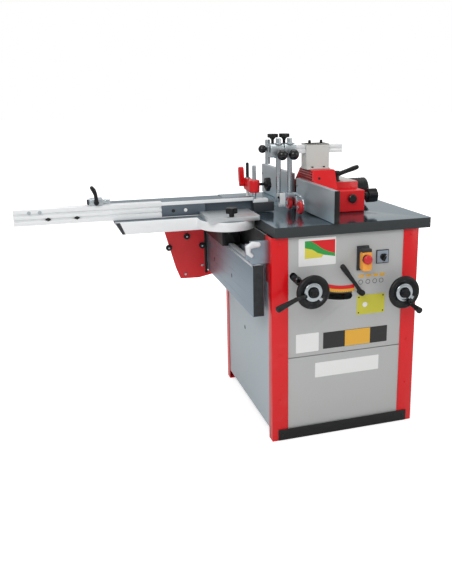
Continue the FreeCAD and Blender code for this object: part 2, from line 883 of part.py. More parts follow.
def rising_unit():
    """The spindle housing with its motor plate and rack, the motor, the belt and what spins."""
    plate_top = PLATE_LOW + S.plate_thick
    motor_x = -S.motor_distance
    over = S.plate_overhang
    plate_left = motor_x - S.motor_radius - over
    plate = block((plate_left, S.housing_radius + over), (RACK_FRONT, S.spindle_y + S.motor_radius + over),
                  (PLATE_LOW, plate_top))
    pinion_way = block((plate_left, RACK_FACE), (RACK_FRONT, RACK_FRONT + S.rack_wide + S.rack_gap),
                       (PLATE_LOW, plate_top))
    rack = block((RACK_FACE, RACK_FACE + S.rack_thick), (RACK_FRONT, RACK_FRONT + S.rack_wide),
                 (PLATE_LOW, plate_top + S.rack_height))
    tall = S.housing_foot - S.housing_top
    housing = fuse(rod("z", (*SPINDLE, PLATE_LOW), S.housing_radius, tall), plate, rack)
    node("spindle_housing", cut(
        housing,
        pinion_way,
        rod("z", (*SPINDLE, PLATE_LOW), S.shaft_radius + S.running_gap, tall),
        rod("z", (motor_x, S.spindle_y, PLATE_LOW), S.motor_shaft_hole, S.plate_thick),
    ))
    motor = rod("z", (motor_x, S.spindle_y, plate_top), S.motor_radius, S.motor_height)
    seat = rod("z", (motor_x, S.spindle_y, plate_top), S.motor_shaft_radius + S.running_gap,
               S.motor_shaft_depth)
    node("drive_motor", cut(motor, seat))

    pulley_low = PLATE_LOW - S.pulley_drop - S.pulley_thick
    belt_low = pulley_low + (S.pulley_thick - S.belt_width) / 2
    node("drive_belt", cut(belt_outline(S.belt_gap + S.belt_thick, belt_low),
                           belt_outline(S.belt_gap, belt_low)))

    arbor_foot = TABLE_TOP + S.spacer_low
    flange_low = arbor_foot - S.flange_thick
    node("spindle_shaft", fuse(
        rod("z", (*SPINDLE, pulley_low), S.shaft_radius, flange_low - pulley_low),
        rod("z", (*SPINDLE, flange_low), S.flange_radius, S.flange_thick),
        rod("z", (*SPINDLE, arbor_foot), S.arbor_radius, S.arbor_top - S.spacer_low),
    ))
    each = (S.spacer_high - S.spacer_low) / SPACERS
    rings = [
        cut(rod("z", (*SPINDLE, arbor_foot + each * i), S.spacer_radius, each),
            rod("z", (*SPINDLE, arbor_foot + each * i), S.arbor_radius, each))
        for i in range(SPACERS)
    ]
    nut_low = TABLE_TOP + S.spacer_high
    nut = cut(rod("z", (*SPINDLE, nut_low), S.nut_radius, S.nut_thick),
              rod("z", (*SPINDLE, nut_low), S.arbor_radius, S.nut_thick))
    node("spindle_spacers", group(*rings, nut))
    node("spindle_pulley", cut(rod("z", (*SPINDLE, pulley_low), S.spindle_pulley_radius, S.pulley_thick),
                               rod("z", (*SPINDLE, pulley_low), S.shaft_radius, S.pulley_thick)))
    motor_long = plate_top + S.motor_shaft_depth - pulley_low
    node("motor_pulley", fuse(
        rod("z", (motor_x, S.spindle_y, pulley_low), S.motor_pulley_radius, S.pulley_thick),
        rod("z", (motor_x, S.spindle_y, pulley_low), S.motor_shaft_radius, motor_long),
    ))


def handwheel(x, z, shaft_end):
    """A dished handwheel on a shaft along Y, with the boss that holds its grip's pin left to the caller."""
    inner = S.wheel_radius - S.rim_radius / 2
    hub_face = S.hub_long
    dish = S.dish_depth
    web = turned("-y", (x, WHEEL_Y, z), [
        (0, 0),
        (S.hub_radius, 0),
        (inner, dish),
        (inner, dish + S.web_thick),
        (S.hub_radius, S.web_thick + dish / 2),
        (S.hub_nose, hub_face),
        (0, hub_face),
    ])
    rim = hoop("-y", (x, WHEEL_Y - dish - S.web_thick / 2, z), S.wheel_radius, S.rim_radius)
    shaft = rod("y", (x, WHEEL_Y, z), S.wheel_shaft, as_size(shaft_end) - WHEEL_Y)
    return fuse(web, rim, shaft)


def grip_frame(x, z, angle, lean, side):
    """Where a grip starts on its wheel's rim and the way that it points."""
    start = (x + S.grip_orbit * sine(angle) * side, WHEEL_Y - S.dish_depth - S.web_thick,
             z - S.grip_orbit * cosine(angle))
    out = math.radians(as_size(lean).value)
    turn = math.radians(as_size(angle).value)
    way = FreeCAD.Vector(math.sin(out) * math.sin(turn) * side, -math.cos(out), -math.sin(out) * math.cos(turn))
    return start, way, FreeCAD.Rotation(FreeCAD.Vector(0, 0, 1), way)


def along(start, way, distance):
    return [as_size(place) + distance * round(step, 6) for place, step in zip(start, way)]


def crank(wheel, x, z, angle, lean, long, side):
    """The wheel with its grip's pin, and the grip that turns on that pin."""
    start, way, facing = grip_frame(x, z, angle, lean, side)
    boss = rod(facing, along(start, way, -S.grip_boss_sink), S.grip_boss_radius, S.grip_boss_long)
    pin_foot = along(start, way, S.grip_boss_long / 2)
    bore_long = long - S.grip_collar
    pin = rod(facing, pin_foot, S.grip_pin, bore_long + S.grip_boss_long / 2 - S.grip_boss_sink)
    sleeve_foot = along(start, way, S.grip_boss_long - S.grip_boss_sink + S.sliding_gap)
    sleeve = taper(facing, sleeve_foot, S.grip_thick, S.grip_end, long)
    bore = rod(facing, sleeve_foot, S.grip_pin + S.running_gap, bore_long)
    return fuse(wheel, boss, pin), cut(sleeve, bore)


def panel_controls():
    """Both handwheels with their grips, the lock knob, the lock lever and the switches."""
    pinion_front = RACK_FRONT + (S.rack_wide - S.pinion_wide) / 2
    height = fuse(handwheel(WHEEL_X, WHEEL_Z, pinion_front + S.pinion_wide),
                  rod("y", (WHEEL_X, pinion_front, WHEEL_Z), S.pinion_radius, S.pinion_wide))
    wheel, grip = crank(height, WHEEL_X, WHEEL_Z, S.height_grip_angle, S.height_grip_lean,
                        S.height_grip_long, -1)
    node("height_wheel", wheel)
    node("height_grip", grip)

    tilt = fuse(handwheel(S.tilt_wheel_x, TILT_Z, CRADLE_FRONT + S.cradle_plate),
                rod("y", (S.tilt_wheel_x, CRADLE_FRONT, TILT_Z), S.gear_radius, S.cradle_plate))
    wheel, grip = crank(tilt, S.tilt_wheel_x, TILT_Z, S.tilt_grip_angle, S.tilt_grip_lean,
                        S.tilt_grip_long, 1)
    node("tilt_wheel", wheel)
    node("tilt_grip", grip)

    knob_back = PANEL_FACE - S.lock_knob_stand
    stem_end = PANEL_BACK + S.tube_setback + S.lock_stem_depth - S.sliding_gap
    node("height_lock_knob", fuse(
        lobed("-y", (LOCK_X, knob_back, LOCK_Z), S.lock_knob_radius, S.lock_knob_long),
        rod("y", (LOCK_X, knob_back, LOCK_Z), S.lock_stem, stem_end - knob_back),
    ))

    lever_z = TABLE_TOP - S.lever_drop
    hub_back = PANEL_FACE - S.sliding_gap
    arm_y = hub_back - S.lever_arm_stand
    upward = FreeCAD.Rotation(FreeCAD.Vector(0, 1, 0), -as_size(S.lever_angle).value)
    node("tilt_lock_lever", fuse(
        rod("-y", (S.lever_x, hub_back, lever_z), S.lever_hub, S.lever_hub_long),
        rod("y", (S.lever_x, hub_back, lever_z), S.lever_stem, S.lever_stem_depth),
        taper(upward, (S.lever_x, arm_y, lever_z), S.lever_root, S.lever_tip, S.lever_long),
    ))

    base_right = S.switch_left + S.switch_width
    base_low = TABLE_TOP - S.switch_drop
    base_top = base_low + S.switch_height
    base_front = PANEL_FACE - S.switch_deep
    base = block((S.switch_left, base_right), (base_front, PANEL_FACE), (base_low, base_top))
    cam_front = PANEL_FACE - S.cam_plate
    cam_x = S.cam_left + S.cam_size / 2
    cam_low = TABLE_TOP - S.cam_drop
    cam_z = cam_low + S.cam_size / 2
    cam_plate = block((S.cam_left, S.cam_left + S.cam_size), (cam_front, PANEL_FACE),
                      (cam_low, cam_low + S.cam_size))
    cam_bore = rod("y", (cam_x, cam_front, cam_z), S.cam_stem + S.running_gap, S.cam_plate)
    node("switch_bases", group(base, cut(cam_plate, cam_bore)))

    inset = S.flap_inset
    flap_back = base_front - S.sliding_gap
    flap = block((S.switch_left + inset, base_right - inset), (flap_back - S.flap_deep, flap_back),
                 (base_low + inset, base_top - inset))
    button_z = TABLE_TOP - S.button_drop
    stem_bore = rod("-y", (S.button_x, flap_back, button_z), S.button_stem + S.running_gap, S.flap_deep)
    node("switch_flap", cut(flap, stem_bore))
    button_back = flap_back - S.flap_deep - S.button_travel - S.sliding_gap
    node("stop_button", fuse(
        rod("-y", (S.button_x, button_back, button_z), S.button_radius, S.button_long),
        rod("y", (S.button_x, button_back, button_z), S.button_stem, S.button_travel + S.button_stem_depth
            - S.sliding_gap),
    ))
    knob_back = cam_front - S.sliding_gap
    knob_front = knob_back - S.cam_knob_deep
    half_grip = S.cam_grip_wide / 2
    node("cam_switch_knob", fuse(
        rod("-y", (cam_x, knob_back, cam_z), S.cam_knob_radius, S.cam_knob_deep / 2),
        rod("y", (cam_x, knob_back, cam_z), S.cam_stem, S.cam_plate),
        block((cam_x - half_grip, cam_x + half_grip), (knob_front, knob_back),
              (cam_z - S.cam_knob_radius, cam_z + S.cam_knob_radius)),
    ))


def crown_outline(inset):
    """The outline of the hood's crown from the side, moved in by inset."""
    rise = S.hood_high - S.hood_low
    front_run = S.hood_shoulder - S.hood_crown_front
    rear_run = S.hood_rear_shoulder - S.hood_crown_rear
    front_ease = inset * (root(rise * rise + front_run * front_run) - front_run) / rise
    rear_ease = inset * (root(rise * rise + rear_run * rear_run) - rear_run) / rise
    low = HOOD_LOW - inset
    high = HOOD_TOP - inset
    return [
        (-S.hood_shoulder + front_ease, low),
        (-S.hood_crown_front + front_ease, high),
        (S.hood_crown_rear - rear_ease, high),
        (S.hood_rear_shoulder - rear_ease, low),
    ]


def hood_form(inset):
    """The hood's box, its crown on the left and the lower step on the right, each moved in by inset."""
    left = -S.hood_left + inset
    right = HOOD_RIGHT - inset
    wide = S.crown_width - inset * 2
    return [
        block((left, right), (-S.hood_front + inset, S.hood_rear - inset), (TABLE_TOP, HOOD_LOW - inset)),
        prism("YZ_Plane", crown_outline(inset), wide, (left, 0, 0)),
        block((S.crown_width - S.hood_left, right), (-S.step_front + inset, S.step_rear - inset),
              (HOOD_LOW - inset, STEP_TOP - inset)),
    ]


def fence_plate(front, rear, high, hole_y):
    """One fence plate with the hole of its clamping bolt."""
    face = -S.fence_face
    low = TABLE_TOP + S.fence_lift
    plate = block((face, face + S.fence_plate), (front, rear), (low, low + high))
    return cut(plate, rod("x", (face, hole_y, TABLE_TOP + S.fence_hole_height), S.fence_hole, S.fence_plate))


def fence():
    """The hood over the spindle, its port, both sliding plates and the controls on the hood."""
    left = -S.hood_left
    wall = S.hood_wall
    mouth = block((left, left + wall), (-S.mouth_front, S.mouth_rear), (TABLE_TOP, TABLE_TOP + S.mouth_high))
    slot = block((left, left + wall), (S.spindle_y - S.slot_half, S.spindle_y + S.slot_half),
                 (TABLE_TOP, TABLE_TOP + S.slot_high))
    rail_back = left
    rail_face = -S.fence_face + S.fence_plate + S.sliding_gap
    rail_high = (TABLE_TOP + S.rail_low, TABLE_TOP + S.rail_high)
    rails = [
        block((rail_face, rail_back), (-S.rail_front, -S.mouth_front), rail_high),
        block((rail_face, rail_back), (S.mouth_rear, S.rail_rear), rail_high),
    ]
    port_at = (HOOD_RIGHT, S.spindle_y, TABLE_TOP + S.port_height)
    bore = S.port_radius - S.port_wall
    knob_z = TABLE_TOP + S.knob_height
    stem_hole = S.stem_radius + S.running_gap
    holes = [
        *hood_form(wall),
        mouth,
        slot,
        rod("-x", port_at, bore, wall),
        rod("y", (S.knob_x, -S.hood_front, knob_z), stem_hole, wall),
        rod("-x", (HOOD_RIGHT, -S.adjust_y, TABLE_TOP + S.adjust_height), stem_hole, wall),
        rod("-z", (S.hood_lever_x, -S.hood_lever_y, STEP_TOP), stem_hole, wall),
    ]
    node("fence_hood", cut(fuse(*hood_form(as_size(0)), *rails), *holes))

    half = S.port_radius + S.port_flange_over
    flange_low = TABLE_TOP + S.fence_lift
    flange_face = HOOD_RIGHT + S.port_flange_thick
    flange = block((HOOD_RIGHT, flange_face), (S.spindle_y - half, S.spindle_y + half),
                   (flange_low, port_at[2] + half))
    tube = rod("x", port_at, S.port_radius, S.port_long)
    node("dust_port", cut(fuse(flange, tube), rod("x", port_at, bore, S.port_long)))

    front = -S.fence_front
    node("fence_plate_front", fence_plate(front, S.fence_mouth_front, S.fence_high,
                                          S.fence_mouth_front - S.fence_hole_inset))
    node("fence_plate_rear", fence_plate(S.fence_mouth_rear, S.fence_rear, S.fence_rear_high,
                                         S.fence_rear - S.fence_hole_inset))

    gap = S.sliding_gap
    knob_y = -S.hood_front - gap
    node("fence_lock_knob", fuse(
        rod("-y", (S.knob_x, knob_y, knob_z), S.front_knob_radius, S.front_knob_long),
        rod("y", (S.knob_x, knob_y, knob_z), S.stem_radius, wall + gap),
    ))
    adjust_at = (HOOD_RIGHT - wall, -S.adjust_y, TABLE_TOP + S.adjust_height)
    grip_at = (HOOD_RIGHT + S.adjust_stand, adjust_at[1], adjust_at[2])
    node("fence_adjust_knob", fuse(
        rod("x", adjust_at, S.stem_radius, wall + S.adjust_stand),
        lobed("x", grip_at, S.adjust_knob_radius, S.adjust_knob_long, lobes=6),
    ))
    hub_low = STEP_TOP + gap
    hub_at = (S.hood_lever_x, -S.hood_lever_y, hub_low)
    sideways = FreeCAD.Rotation(FreeCAD.Vector(0, 1, 0), 90 - as_size(S.hood_lever_rise).value)
    arm_at = (hub_at[0], hub_at[1], hub_low + S.hood_lever_high - S.hood_lever_hub)
    node("fence_lock_lever", fuse(
        rod("z", hub_at, S.hood_lever_hub, S.hood_lever_high),
        rod("-z", hub_at, S.stem_radius, wall + gap),
        rod(sideways, arm_at, S.hood_lever_thick, S.hood_lever_long),
    ))


def pressure_device():
    """The mast on the hood, the bar through it with its clamp head, and the two rods with shoe and rollers."""
    gap = S.sliding_gap
    bar_half = S.bar_size / 2
    bar_along = (S.bar_y - bar_half, S.bar_y + bar_half)
    bar_high = (BAR_LOW, BAR_LOW + S.bar_size)
    mast_left = -S.mast_left
    mast_right = mast_left + S.mast_width
    mast_front = -S.mast_front
    mast_rear = mast_front + S.mast_deep
    over = S.mast_flange
    mast = fuse(
        block((mast_left, mast_right), (mast_front, mast_rear), (HOOD_TOP, HOOD_TOP + S.mast_high)),
        block((mast_left, mast_right), (mast_front - over, mast_rear + over),
              (HOOD_TOP, HOOD_TOP + S.mast_foot)),
    )
    passage = block((mast_left, mast_right), (bar_along[0] - gap, bar_along[1] + gap),
                    (bar_high[0] - gap, bar_high[1] + gap))
    node("pressure_mast", cut(mast, passage))

    bar_left = -S.bar_left
    wall = S.bar_wall
    bar = block((bar_left, S.bar_right), bar_along, bar_high)
    core = block((bar_left, S.bar_right), (bar_along[0] + wall, bar_along[1] - wall),
                 (bar_high[0] + wall, bar_high[1] - wall))
    node("pressure_bar", cut(bar, core))

    head_low = BAR_LOW - S.head_over
    head_top = BAR_LOW + S.bar_size + S.head_over
    rod_top = head_top + S.rod_rise
    head = block((-S.head_left, -S.head_right), (-S.head_front, S.head_rear), (head_low, head_top))
    passage = block((-S.head_left, -S.head_right), bar_along, bar_high)
    rods = {"shoe": -S.shoe_rod_x, "roller": -S.roller_rod_x}
    bores = [
        rod("z", (x, -S.rod_y, head_low), S.rod_radius + S.running_gap, head_top - head_low)
        for x in rods.values()
    ]
    spare_y = S.bar_y + S.bar_size / 2 + S.rod_radius
    spare_low = head_low - S.spare_rod_drop
    spare = rod("z", (-S.spare_rod_x, spare_y, spare_low), S.rod_radius,
                head_top + S.spare_rod_rise - spare_low)
    node("clamp_head", fuse(cut(head, passage, *bores), spare))

    grip_low = head_top + S.top_knob_stand
    neck_low = grip_low - S.top_knob_neck
    ball_z = head_low + (head_top - head_low) / 4
    knobs = []
    for x in (-S.top_knob_left_x, -S.top_knob_right_x):
        knobs.append(fuse(
            rod("z", (x, S.bar_y, head_top), S.top_knob_stem, S.top_knob_stand),
            taper("z", (x, S.bar_y, neck_low), S.top_knob_stem, S.top_knob_radius * KNOB_CORE, S.top_knob_neck),
            lobed("z", (x, S.bar_y, grip_low), S.top_knob_radius, S.top_knob_high, lobes=3),
        ))
    front = -S.head_front
    for x in rods.values():
        knobs.append(fuse(
            rod("-y", (x, front, ball_z), S.ball_stem, S.ball_stand + S.ball_radius),
            ball((x, front - S.ball_stand - S.ball_radius, ball_z), S.ball_radius),
        ))
    end_y = S.head_rear - S.ball_radius
    end_z = head_top - S.end_ball_drop
    cap_face = -S.head_left - S.end_ball_stand
    knobs.append(fuse(
        block((cap_face, bar_left), bar_along, bar_high),
        rod("-x", (cap_face, end_y, end_z), S.ball_stem, S.end_ball_radius),
        ball((cap_face - S.end_ball_radius, end_y, end_z), S.end_ball_radius),
    ))
    node("head_knobs", group(*knobs))

    shoe_low = TABLE_TOP + S.shoe_lift
    shoe_top = shoe_low + S.shoe_high
    half = S.shoe_half
    x = rods["shoe"]
    shoe_x = x + S.shoe_offset
    shoe_along = (-S.rod_y - half, -S.rod_y + half)
    node("shoe_rod", fuse(
        block((shoe_x - half, shoe_x + half), shoe_along, (shoe_low, shoe_top)),
        block((x - half, shoe_x + half), shoe_along, (shoe_top - S.shoe_cap, shoe_top)),
        rod("z", (x, -S.rod_y, shoe_top), S.rod_radius, rod_top - shoe_top),
    ))

    axle_z = TABLE_TOP + S.roller_lift + S.roller_radius
    roller_right = -S.roller_x
    roller_left = roller_right - S.roller_wide
    yoke_left = roller_right + S.yoke_gap
    yoke = (yoke_left, yoke_left + S.yoke_thick)
    bridge_low = axle_z + S.roller_radius + S.yoke_gap
    bridge = (bridge_low, bridge_low + S.yoke_bridge)
    x = rods["roller"]
    half = S.yoke_block
    places = {"roller_front": -S.roller_front_y, "roller_rear": S.roller_rear_y}
    over = S.yoke_over
    carrier = [
        block(yoke, (places["roller_front"] - over, places["roller_rear"] + over),
              (axle_z - S.yoke_bar / 2, axle_z + S.yoke_bar / 2)),
        block(yoke, (-S.rod_y - half, -S.rod_y + half), (axle_z, bridge[1])),
        block((x - half, yoke[1]), (-S.rod_y - half, -S.rod_y + half), bridge),
        rod("z", (x, -S.rod_y, bridge[1]), S.rod_radius, rod_top - bridge[1]),
    ]
    for label, y in places.items():
        carrier.append(rod("-x", (yoke_left, y, axle_z), S.axle_radius, S.yoke_gap + S.roller_wide + gap))
        carrier.append(rod("-x", (roller_left - gap, y, axle_z), S.axle_head, S.axle_head_thick))
        carrier.append(rod("-x", (yoke_left, y, axle_z), S.axle_head, S.yoke_gap - gap))
        wheel = rod("x", (roller_left, y, axle_z), S.roller_radius, S.roller_wide)
        bore = rod("x", (roller_left, y, axle_z), S.axle_radius + S.roller_bore_gap, S.roller_wide)
        node(label, cut(wheel, bore))
    node("roller_rod", fuse(*carrier))


def beam():
    """The hollow beam with its rail, and the two braces that hold it to the cabinet."""
    right = BEAM_RIGHT
    front = FRONT + S.beam_front_inset
    ends = (front, front + S.beam_long)
    wall = S.beam_wall
    middle = BEAM_LOW + S.beam_high / 2
    shell = block((BEAM_LEFT, right), ends, (BEAM_LOW, BEAM_TOP))
    rail = block((BEAM_MIDDLE - S.rail_wide / 2, BEAM_MIDDLE + S.rail_wide / 2), ends, (BEAM_TOP, RAIL_TOP))
    cells = [
        block((BEAM_LEFT + wall, right - wall), ends, span)
        for span in ((BEAM_LOW + wall, middle - wall / 2), (middle + wall / 2, BEAM_TOP - wall))
    ]
    node("slide_beam", cut(fuse(shell, rail), *cells))

    brace_low = BEAM_LOW + S.brace_lift
    high = (brace_low, brace_low + S.brace_high)
    starts = (FRONT + S.brace_front_inset, -FRONT - S.brace_rear_inset)
    braces = [block((right, LEFT), (start, start + S.brace_long), high) for start in starts]
    stop_front = FRONT + S.rail_stop_inset
    stop_span = (stop_front, stop_front + S.rail_stop_long)
    stop_left = LEFT - S.rail_stop_reach
    stop_middle = stop_left + S.rail_stop_head / 2
    stop_top = TABLE_TOP - S.rail_stop_drop
    stop_low = stop_top - S.rail_stop_high
    arm = block((stop_middle, LEFT), stop_span, (stop_top - S.rail_stop_arm, stop_top))
    head = block((stop_left, stop_left + S.rail_stop_head), stop_span, (stop_low, stop_top - S.rail_stop_step))
    hole_at = (stop_middle, stop_front, stop_low + S.rail_stop_head / 2)
    hole = rod("y", hole_at, S.rail_stop_hole, S.rail_stop_long)
    node("beam_braces", group(*braces, cut(fuse(arm, head), hole)))


def carriage():
    """The crosscut deck with its lobe, the saddle on the rail and the wing that reaches under the beam."""
    left = BEAM_RIGHT - S.deck_reach
    right = BEAM_RIGHT + S.deck_over
    front = -S.deck_front
    rear = S.deck_rear
    plate_low = TABLE_TOP - S.deck_plate
    body_right = right - S.deck_lip
    top = block((left, right), (front, rear), (plate_low, TABLE_TOP))
    body = block((left, body_right), (front, rear), (DECK_LOW, plate_low))
    wall = S.deck_wall
    slope_end = left + S.deck_slope
    hollow = block((slope_end + wall, body_right - wall), (front + wall, rear - wall), (DECK_LOW, plate_low))
    slope_corners = [(left, DECK_LOW), (slope_end, DECK_LOW), (left, plate_low)]
    slope = prism("XZ_Plane", slope_corners, S.deck_rear + S.deck_front, (0, rear, 0))
    half_rib = S.deck_rib / 2
    saddle_left = BEAM_LEFT - S.saddle_over
    saddle_right = BEAM_RIGHT + S.saddle_over
    ribs = [
        block((x - half_rib, x + half_rib), (front, rear), (DECK_LOW, plate_low))
        for x in (saddle_left + half_rib, saddle_right - half_rib, (left + saddle_left) / 2)
    ]
    lobe_low = TABLE_TOP - S.lobe_thick
    lobe = [
        rod("z", (LOBE_X, -S.lobe_y, lobe_low), S.lobe_radius, S.lobe_thick),
        block((LOBE_X - S.lobe_radius, LOBE_X + S.lobe_radius), (-S.lobe_y, front), (lobe_low, TABLE_TOP)),
    ]
    pivot = rod("z", (LOBE_X, -S.lobe_y, TABLE_TOP), S.pivot_radius, S.pivot_high)
    node("crosscut_table", fuse(cut(fuse(top, body), hollow, slope), *ribs, *lobe, pivot))

    gap = S.sliding_gap
    half_rail = S.rail_wide / 2 + gap
    saddle = block((saddle_left, saddle_right), (S.saddle_front, S.saddle_rear), (BEAM_TOP + gap, DECK_LOW))
    groove = block((BEAM_MIDDLE - half_rail, BEAM_MIDDLE + half_rail), (S.saddle_front, S.saddle_rear),
                   (BEAM_TOP + gap, RAIL_TOP + gap))
    node("carriage_saddle", cut(saddle, groove))

    clear = S.wing_gap
    beam_side = BEAM_LEFT - clear
    outline = [
        (BEAM_RIGHT - S.wing_top_reach, DECK_LOW),
        (BEAM_RIGHT - S.wing_knee_reach, BEAM_LOW + S.wing_knee_rise),
        (BEAM_RIGHT - S.wing_foot_reach, BEAM_LOW - S.wing_foot_drop),
        (BEAM_RIGHT - S.wing_heel_reach, BEAM_LOW - S.wing_heel_drop),
        (BEAM_RIGHT, BEAM_LOW - S.wing_toe_drop),
        (BEAM_RIGHT, BEAM_LOW - clear),
        (beam_side, BEAM_LOW - clear),
        (beam_side, RAIL_TOP + clear),
        (saddle_right, RAIL_TOP + clear),
        (saddle_right, DECK_LOW),
    ]
    node("outrigger_wing", prism("XZ_Plane", outline, S.wing_thick, (0, S.saddle_rear + S.wing_thick, 0)))

    radius = S.buffer_radius
    spots = [
        (BEAM_RIGHT - S.buffer_top_reach, BEAM_LOW + S.buffer_top_rise),
        (BEAM_RIGHT - S.buffer_left_reach, BEAM_LOW + S.buffer_side_rise),
        (beam_side - radius - clear, BEAM_LOW + S.buffer_side_rise),
    ]
    node("rubber_buffers", group(*[
        rod("-y", (x, S.saddle_rear, z), radius, S.buffer_thick) for x, z in spots
    ]))


def mitre():
    """The mitre head and fence on the deck's pivot, the sliding extension and its stop."""
    gap = S.sliding_gap
    front = -S.mitre_front
    rear = front + S.mitre_deep
    head_low = TABLE_TOP + gap
    head_across = (LOBE_X - S.head_block_left, LOBE_X + S.head_block_right)
    head = rounded(block(head_across, (-S.head_block_front, front), (head_low, HEAD_TOP)),
                   S.table_corner, upright_edge)
    bore = rod("z", (LOBE_X, -S.lobe_y, head_low), S.pivot_radius + S.running_gap, S.head_block_top)
    stem_bore = rod("z", (LOBE_X, -S.mitre_knob_y, head_low), S.stem_radius + S.running_gap, S.head_block_top)
    node("mitre_head", cut(head, bore, stem_bore))

    left = LOBE_X - S.mitre_left
    tip_left = LOBE_X + S.mitre_tip_left
    rail = block((left, tip_left), (front, rear), (MITRE_LOW, MITRE_TOP))
    channel = block((left, tip_left), (front, front + S.channel_deep),
                    (MITRE_LOW + S.channel_low, MITRE_LOW + S.channel_high))
    node("mitre_fence", cut(rail, channel))
    node("fence_tip", block((tip_left, LOBE_X + S.mitre_tip_right), (front, rear), (MITRE_LOW, TIP_TOP)))

    tongue = block((left - gap, left + S.tongue_long),
                   (front + gap, front + S.channel_deep - gap),
                   (MITRE_LOW + S.channel_low + gap, MITRE_LOW + S.channel_high - gap))
    reach = (LOBE_X - S.extension_left, left - gap)
    profile = block(reach, (front, rear), (MITRE_LOW, MITRE_TOP))
    slots = [
        block(reach, (front, front + S.extension_slot_deep),
              (middle - S.extension_slot / 2, middle + S.extension_slot / 2))
        for middle in (MITRE_LOW + S.mitre_high / 3, MITRE_LOW + S.mitre_high * 2 / 3)
    ]
    node("fence_extension", fuse(cut(profile, *slots), tongue))

    knob_low = HEAD_TOP + gap
    node("mitre_knob", fuse(
        lobed("z", (LOBE_X, -S.mitre_knob_y, knob_low), S.mitre_knob_radius, S.mitre_knob_long),
        rod("-z", (LOBE_X, -S.mitre_knob_y, knob_low), S.stem_radius, S.head_block_top),
    ))

    stop_x = (LOBE_X - S.stop_left, LOBE_X - S.stop_left + S.stop_wide)
    stop_low = MITRE_TOP + gap
    stop_top = stop_low + S.stop_high
    plate_face = rear + gap
    pin_x = (stop_x[0] + stop_x[1]) / 2
    pin_z = stop_low + S.stop_high / 2
    barrel_from = stop_x[0] - S.stop_barrel_left
    stop = fuse(
        rod("x", (barrel_from, (front + rear) / 2, pin_z), S.stop_barrel,
            stop_x[1] + S.stop_barrel_right - barrel_from),
        block(stop_x, (front, plate_face + S.stop_plate), (stop_low, stop_top)),
        block(stop_x, (plate_face, plate_face + S.stop_plate), (MITRE_TOP - S.stop_drop, stop_top)),
    )
    pin_bore = rod("y", (pin_x, front, pin_z), S.stop_pin + S.running_gap, S.mitre_deep / 2)
    node("stop_block", cut(stop, pin_bore))
    lever_y = front - gap
    arm_stand = S.stop_lever_thick + S.stop_hub_over
    lean = FreeCAD.Rotation(FreeCAD.Vector(0, 1, 0), as_size(S.stop_lever_lean).value)
    node("stop_lever", fuse(
        rod("y", (pin_x, lever_y, pin_z), S.stop_pin, S.mitre_deep / 2),
        rod("-y", (pin_x, lever_y, pin_z), S.stop_pin * 2, arm_stand * 2),
        rod(lean, (pin_x, lever_y - arm_stand, pin_z), S.stop_lever_thick, S.stop_lever_long),
    ))


def clamp():
    """The hold-down clamp: its column on the fence's tip, the arm, the lock knob, the lever and the pad."""
    gap = S.sliding_gap
    x = LOBE_X + S.column_reach
    y = S.column_y
    node("clamp_column", rod("z", (x, y, TIP_TOP), S.column_radius, S.column_high))
    half = S.arm_half
    sleeve_low = TIP_TOP + S.sleeve_lift
    arm_top = sleeve_low + S.arm_deep
    arm = fuse(
        rod("z", (x, y, sleeve_low), S.sleeve_radius, S.sleeve_high),
        block((x - half, x + half), (y, S.arm_rear), (sleeve_low, arm_top)),
    )
    knob_z = sleeve_low + S.clamp_knob_lift
    plunger_hole = rod("z", (x, S.pad_y, sleeve_low), S.plunger_radius + S.running_gap, S.arm_deep)
    knob_hole = rod("x", (x, y, knob_z), S.stem_radius + S.running_gap, S.sleeve_radius)
    pin_z = sleeve_low + S.arm_deep / 2
    lever_x = x - half - S.clamp_lever_gap
    pin_hole = rod("-x", (x - S.plunger_radius - gap, S.arm_rear - half, pin_z), S.stop_pin + S.running_gap,
                   half)
    node("clamp_arm", cut(arm, rod("z", (x, y, sleeve_low), S.column_radius + S.running_gap, S.sleeve_high),
                          plunger_hole, knob_hole, pin_hole))

    stem_from = x + S.column_radius + gap
    knob_from = x + S.sleeve_radius + S.clamp_knob_stand
    at = (stem_from, y, knob_z)
    node("clamp_knob", fuse(
        rod("x", at, S.stem_radius, knob_from - stem_from),
        lobed("x", (knob_from, y, knob_z), S.clamp_knob_radius, S.clamp_knob_long),
    ))

    lean = FreeCAD.Rotation(FreeCAD.Vector(0, 1, 0), as_size(S.clamp_lever_lean).value)
    lever_y = S.arm_rear - half
    half_wide = S.clamp_lever_wide / 2
    blade = bind(doc.addObject("Part::Box", "Blade"), Length=S.clamp_lever_thick, Width=S.clamp_lever_wide,
                 Height=S.clamp_lever_long)
    put(blade, (lever_x - S.clamp_lever_thick, lever_y - half_wide, pin_z), lean)
    node("clamp_lever", fuse(
        rod("-x", (lever_x, lever_y, pin_z), half_wide, S.clamp_lever_thick),
        rod("x", (lever_x, lever_y, pin_z), S.stop_pin, S.clamp_lever_gap + half - S.plunger_radius - gap),
        blade,
    ))

    pad_low = TABLE_TOP + S.pad_lift
    pad_top = pad_low + S.pad_high
    node("clamp_pad", fuse(
        rod("z", (x, S.pad_y, pad_low), S.pad_radius, S.pad_high),
        rod("z", (x, S.pad_y, pad_top), S.plunger_radius, arm_top + S.plunger_rise - pad_top),
    ))


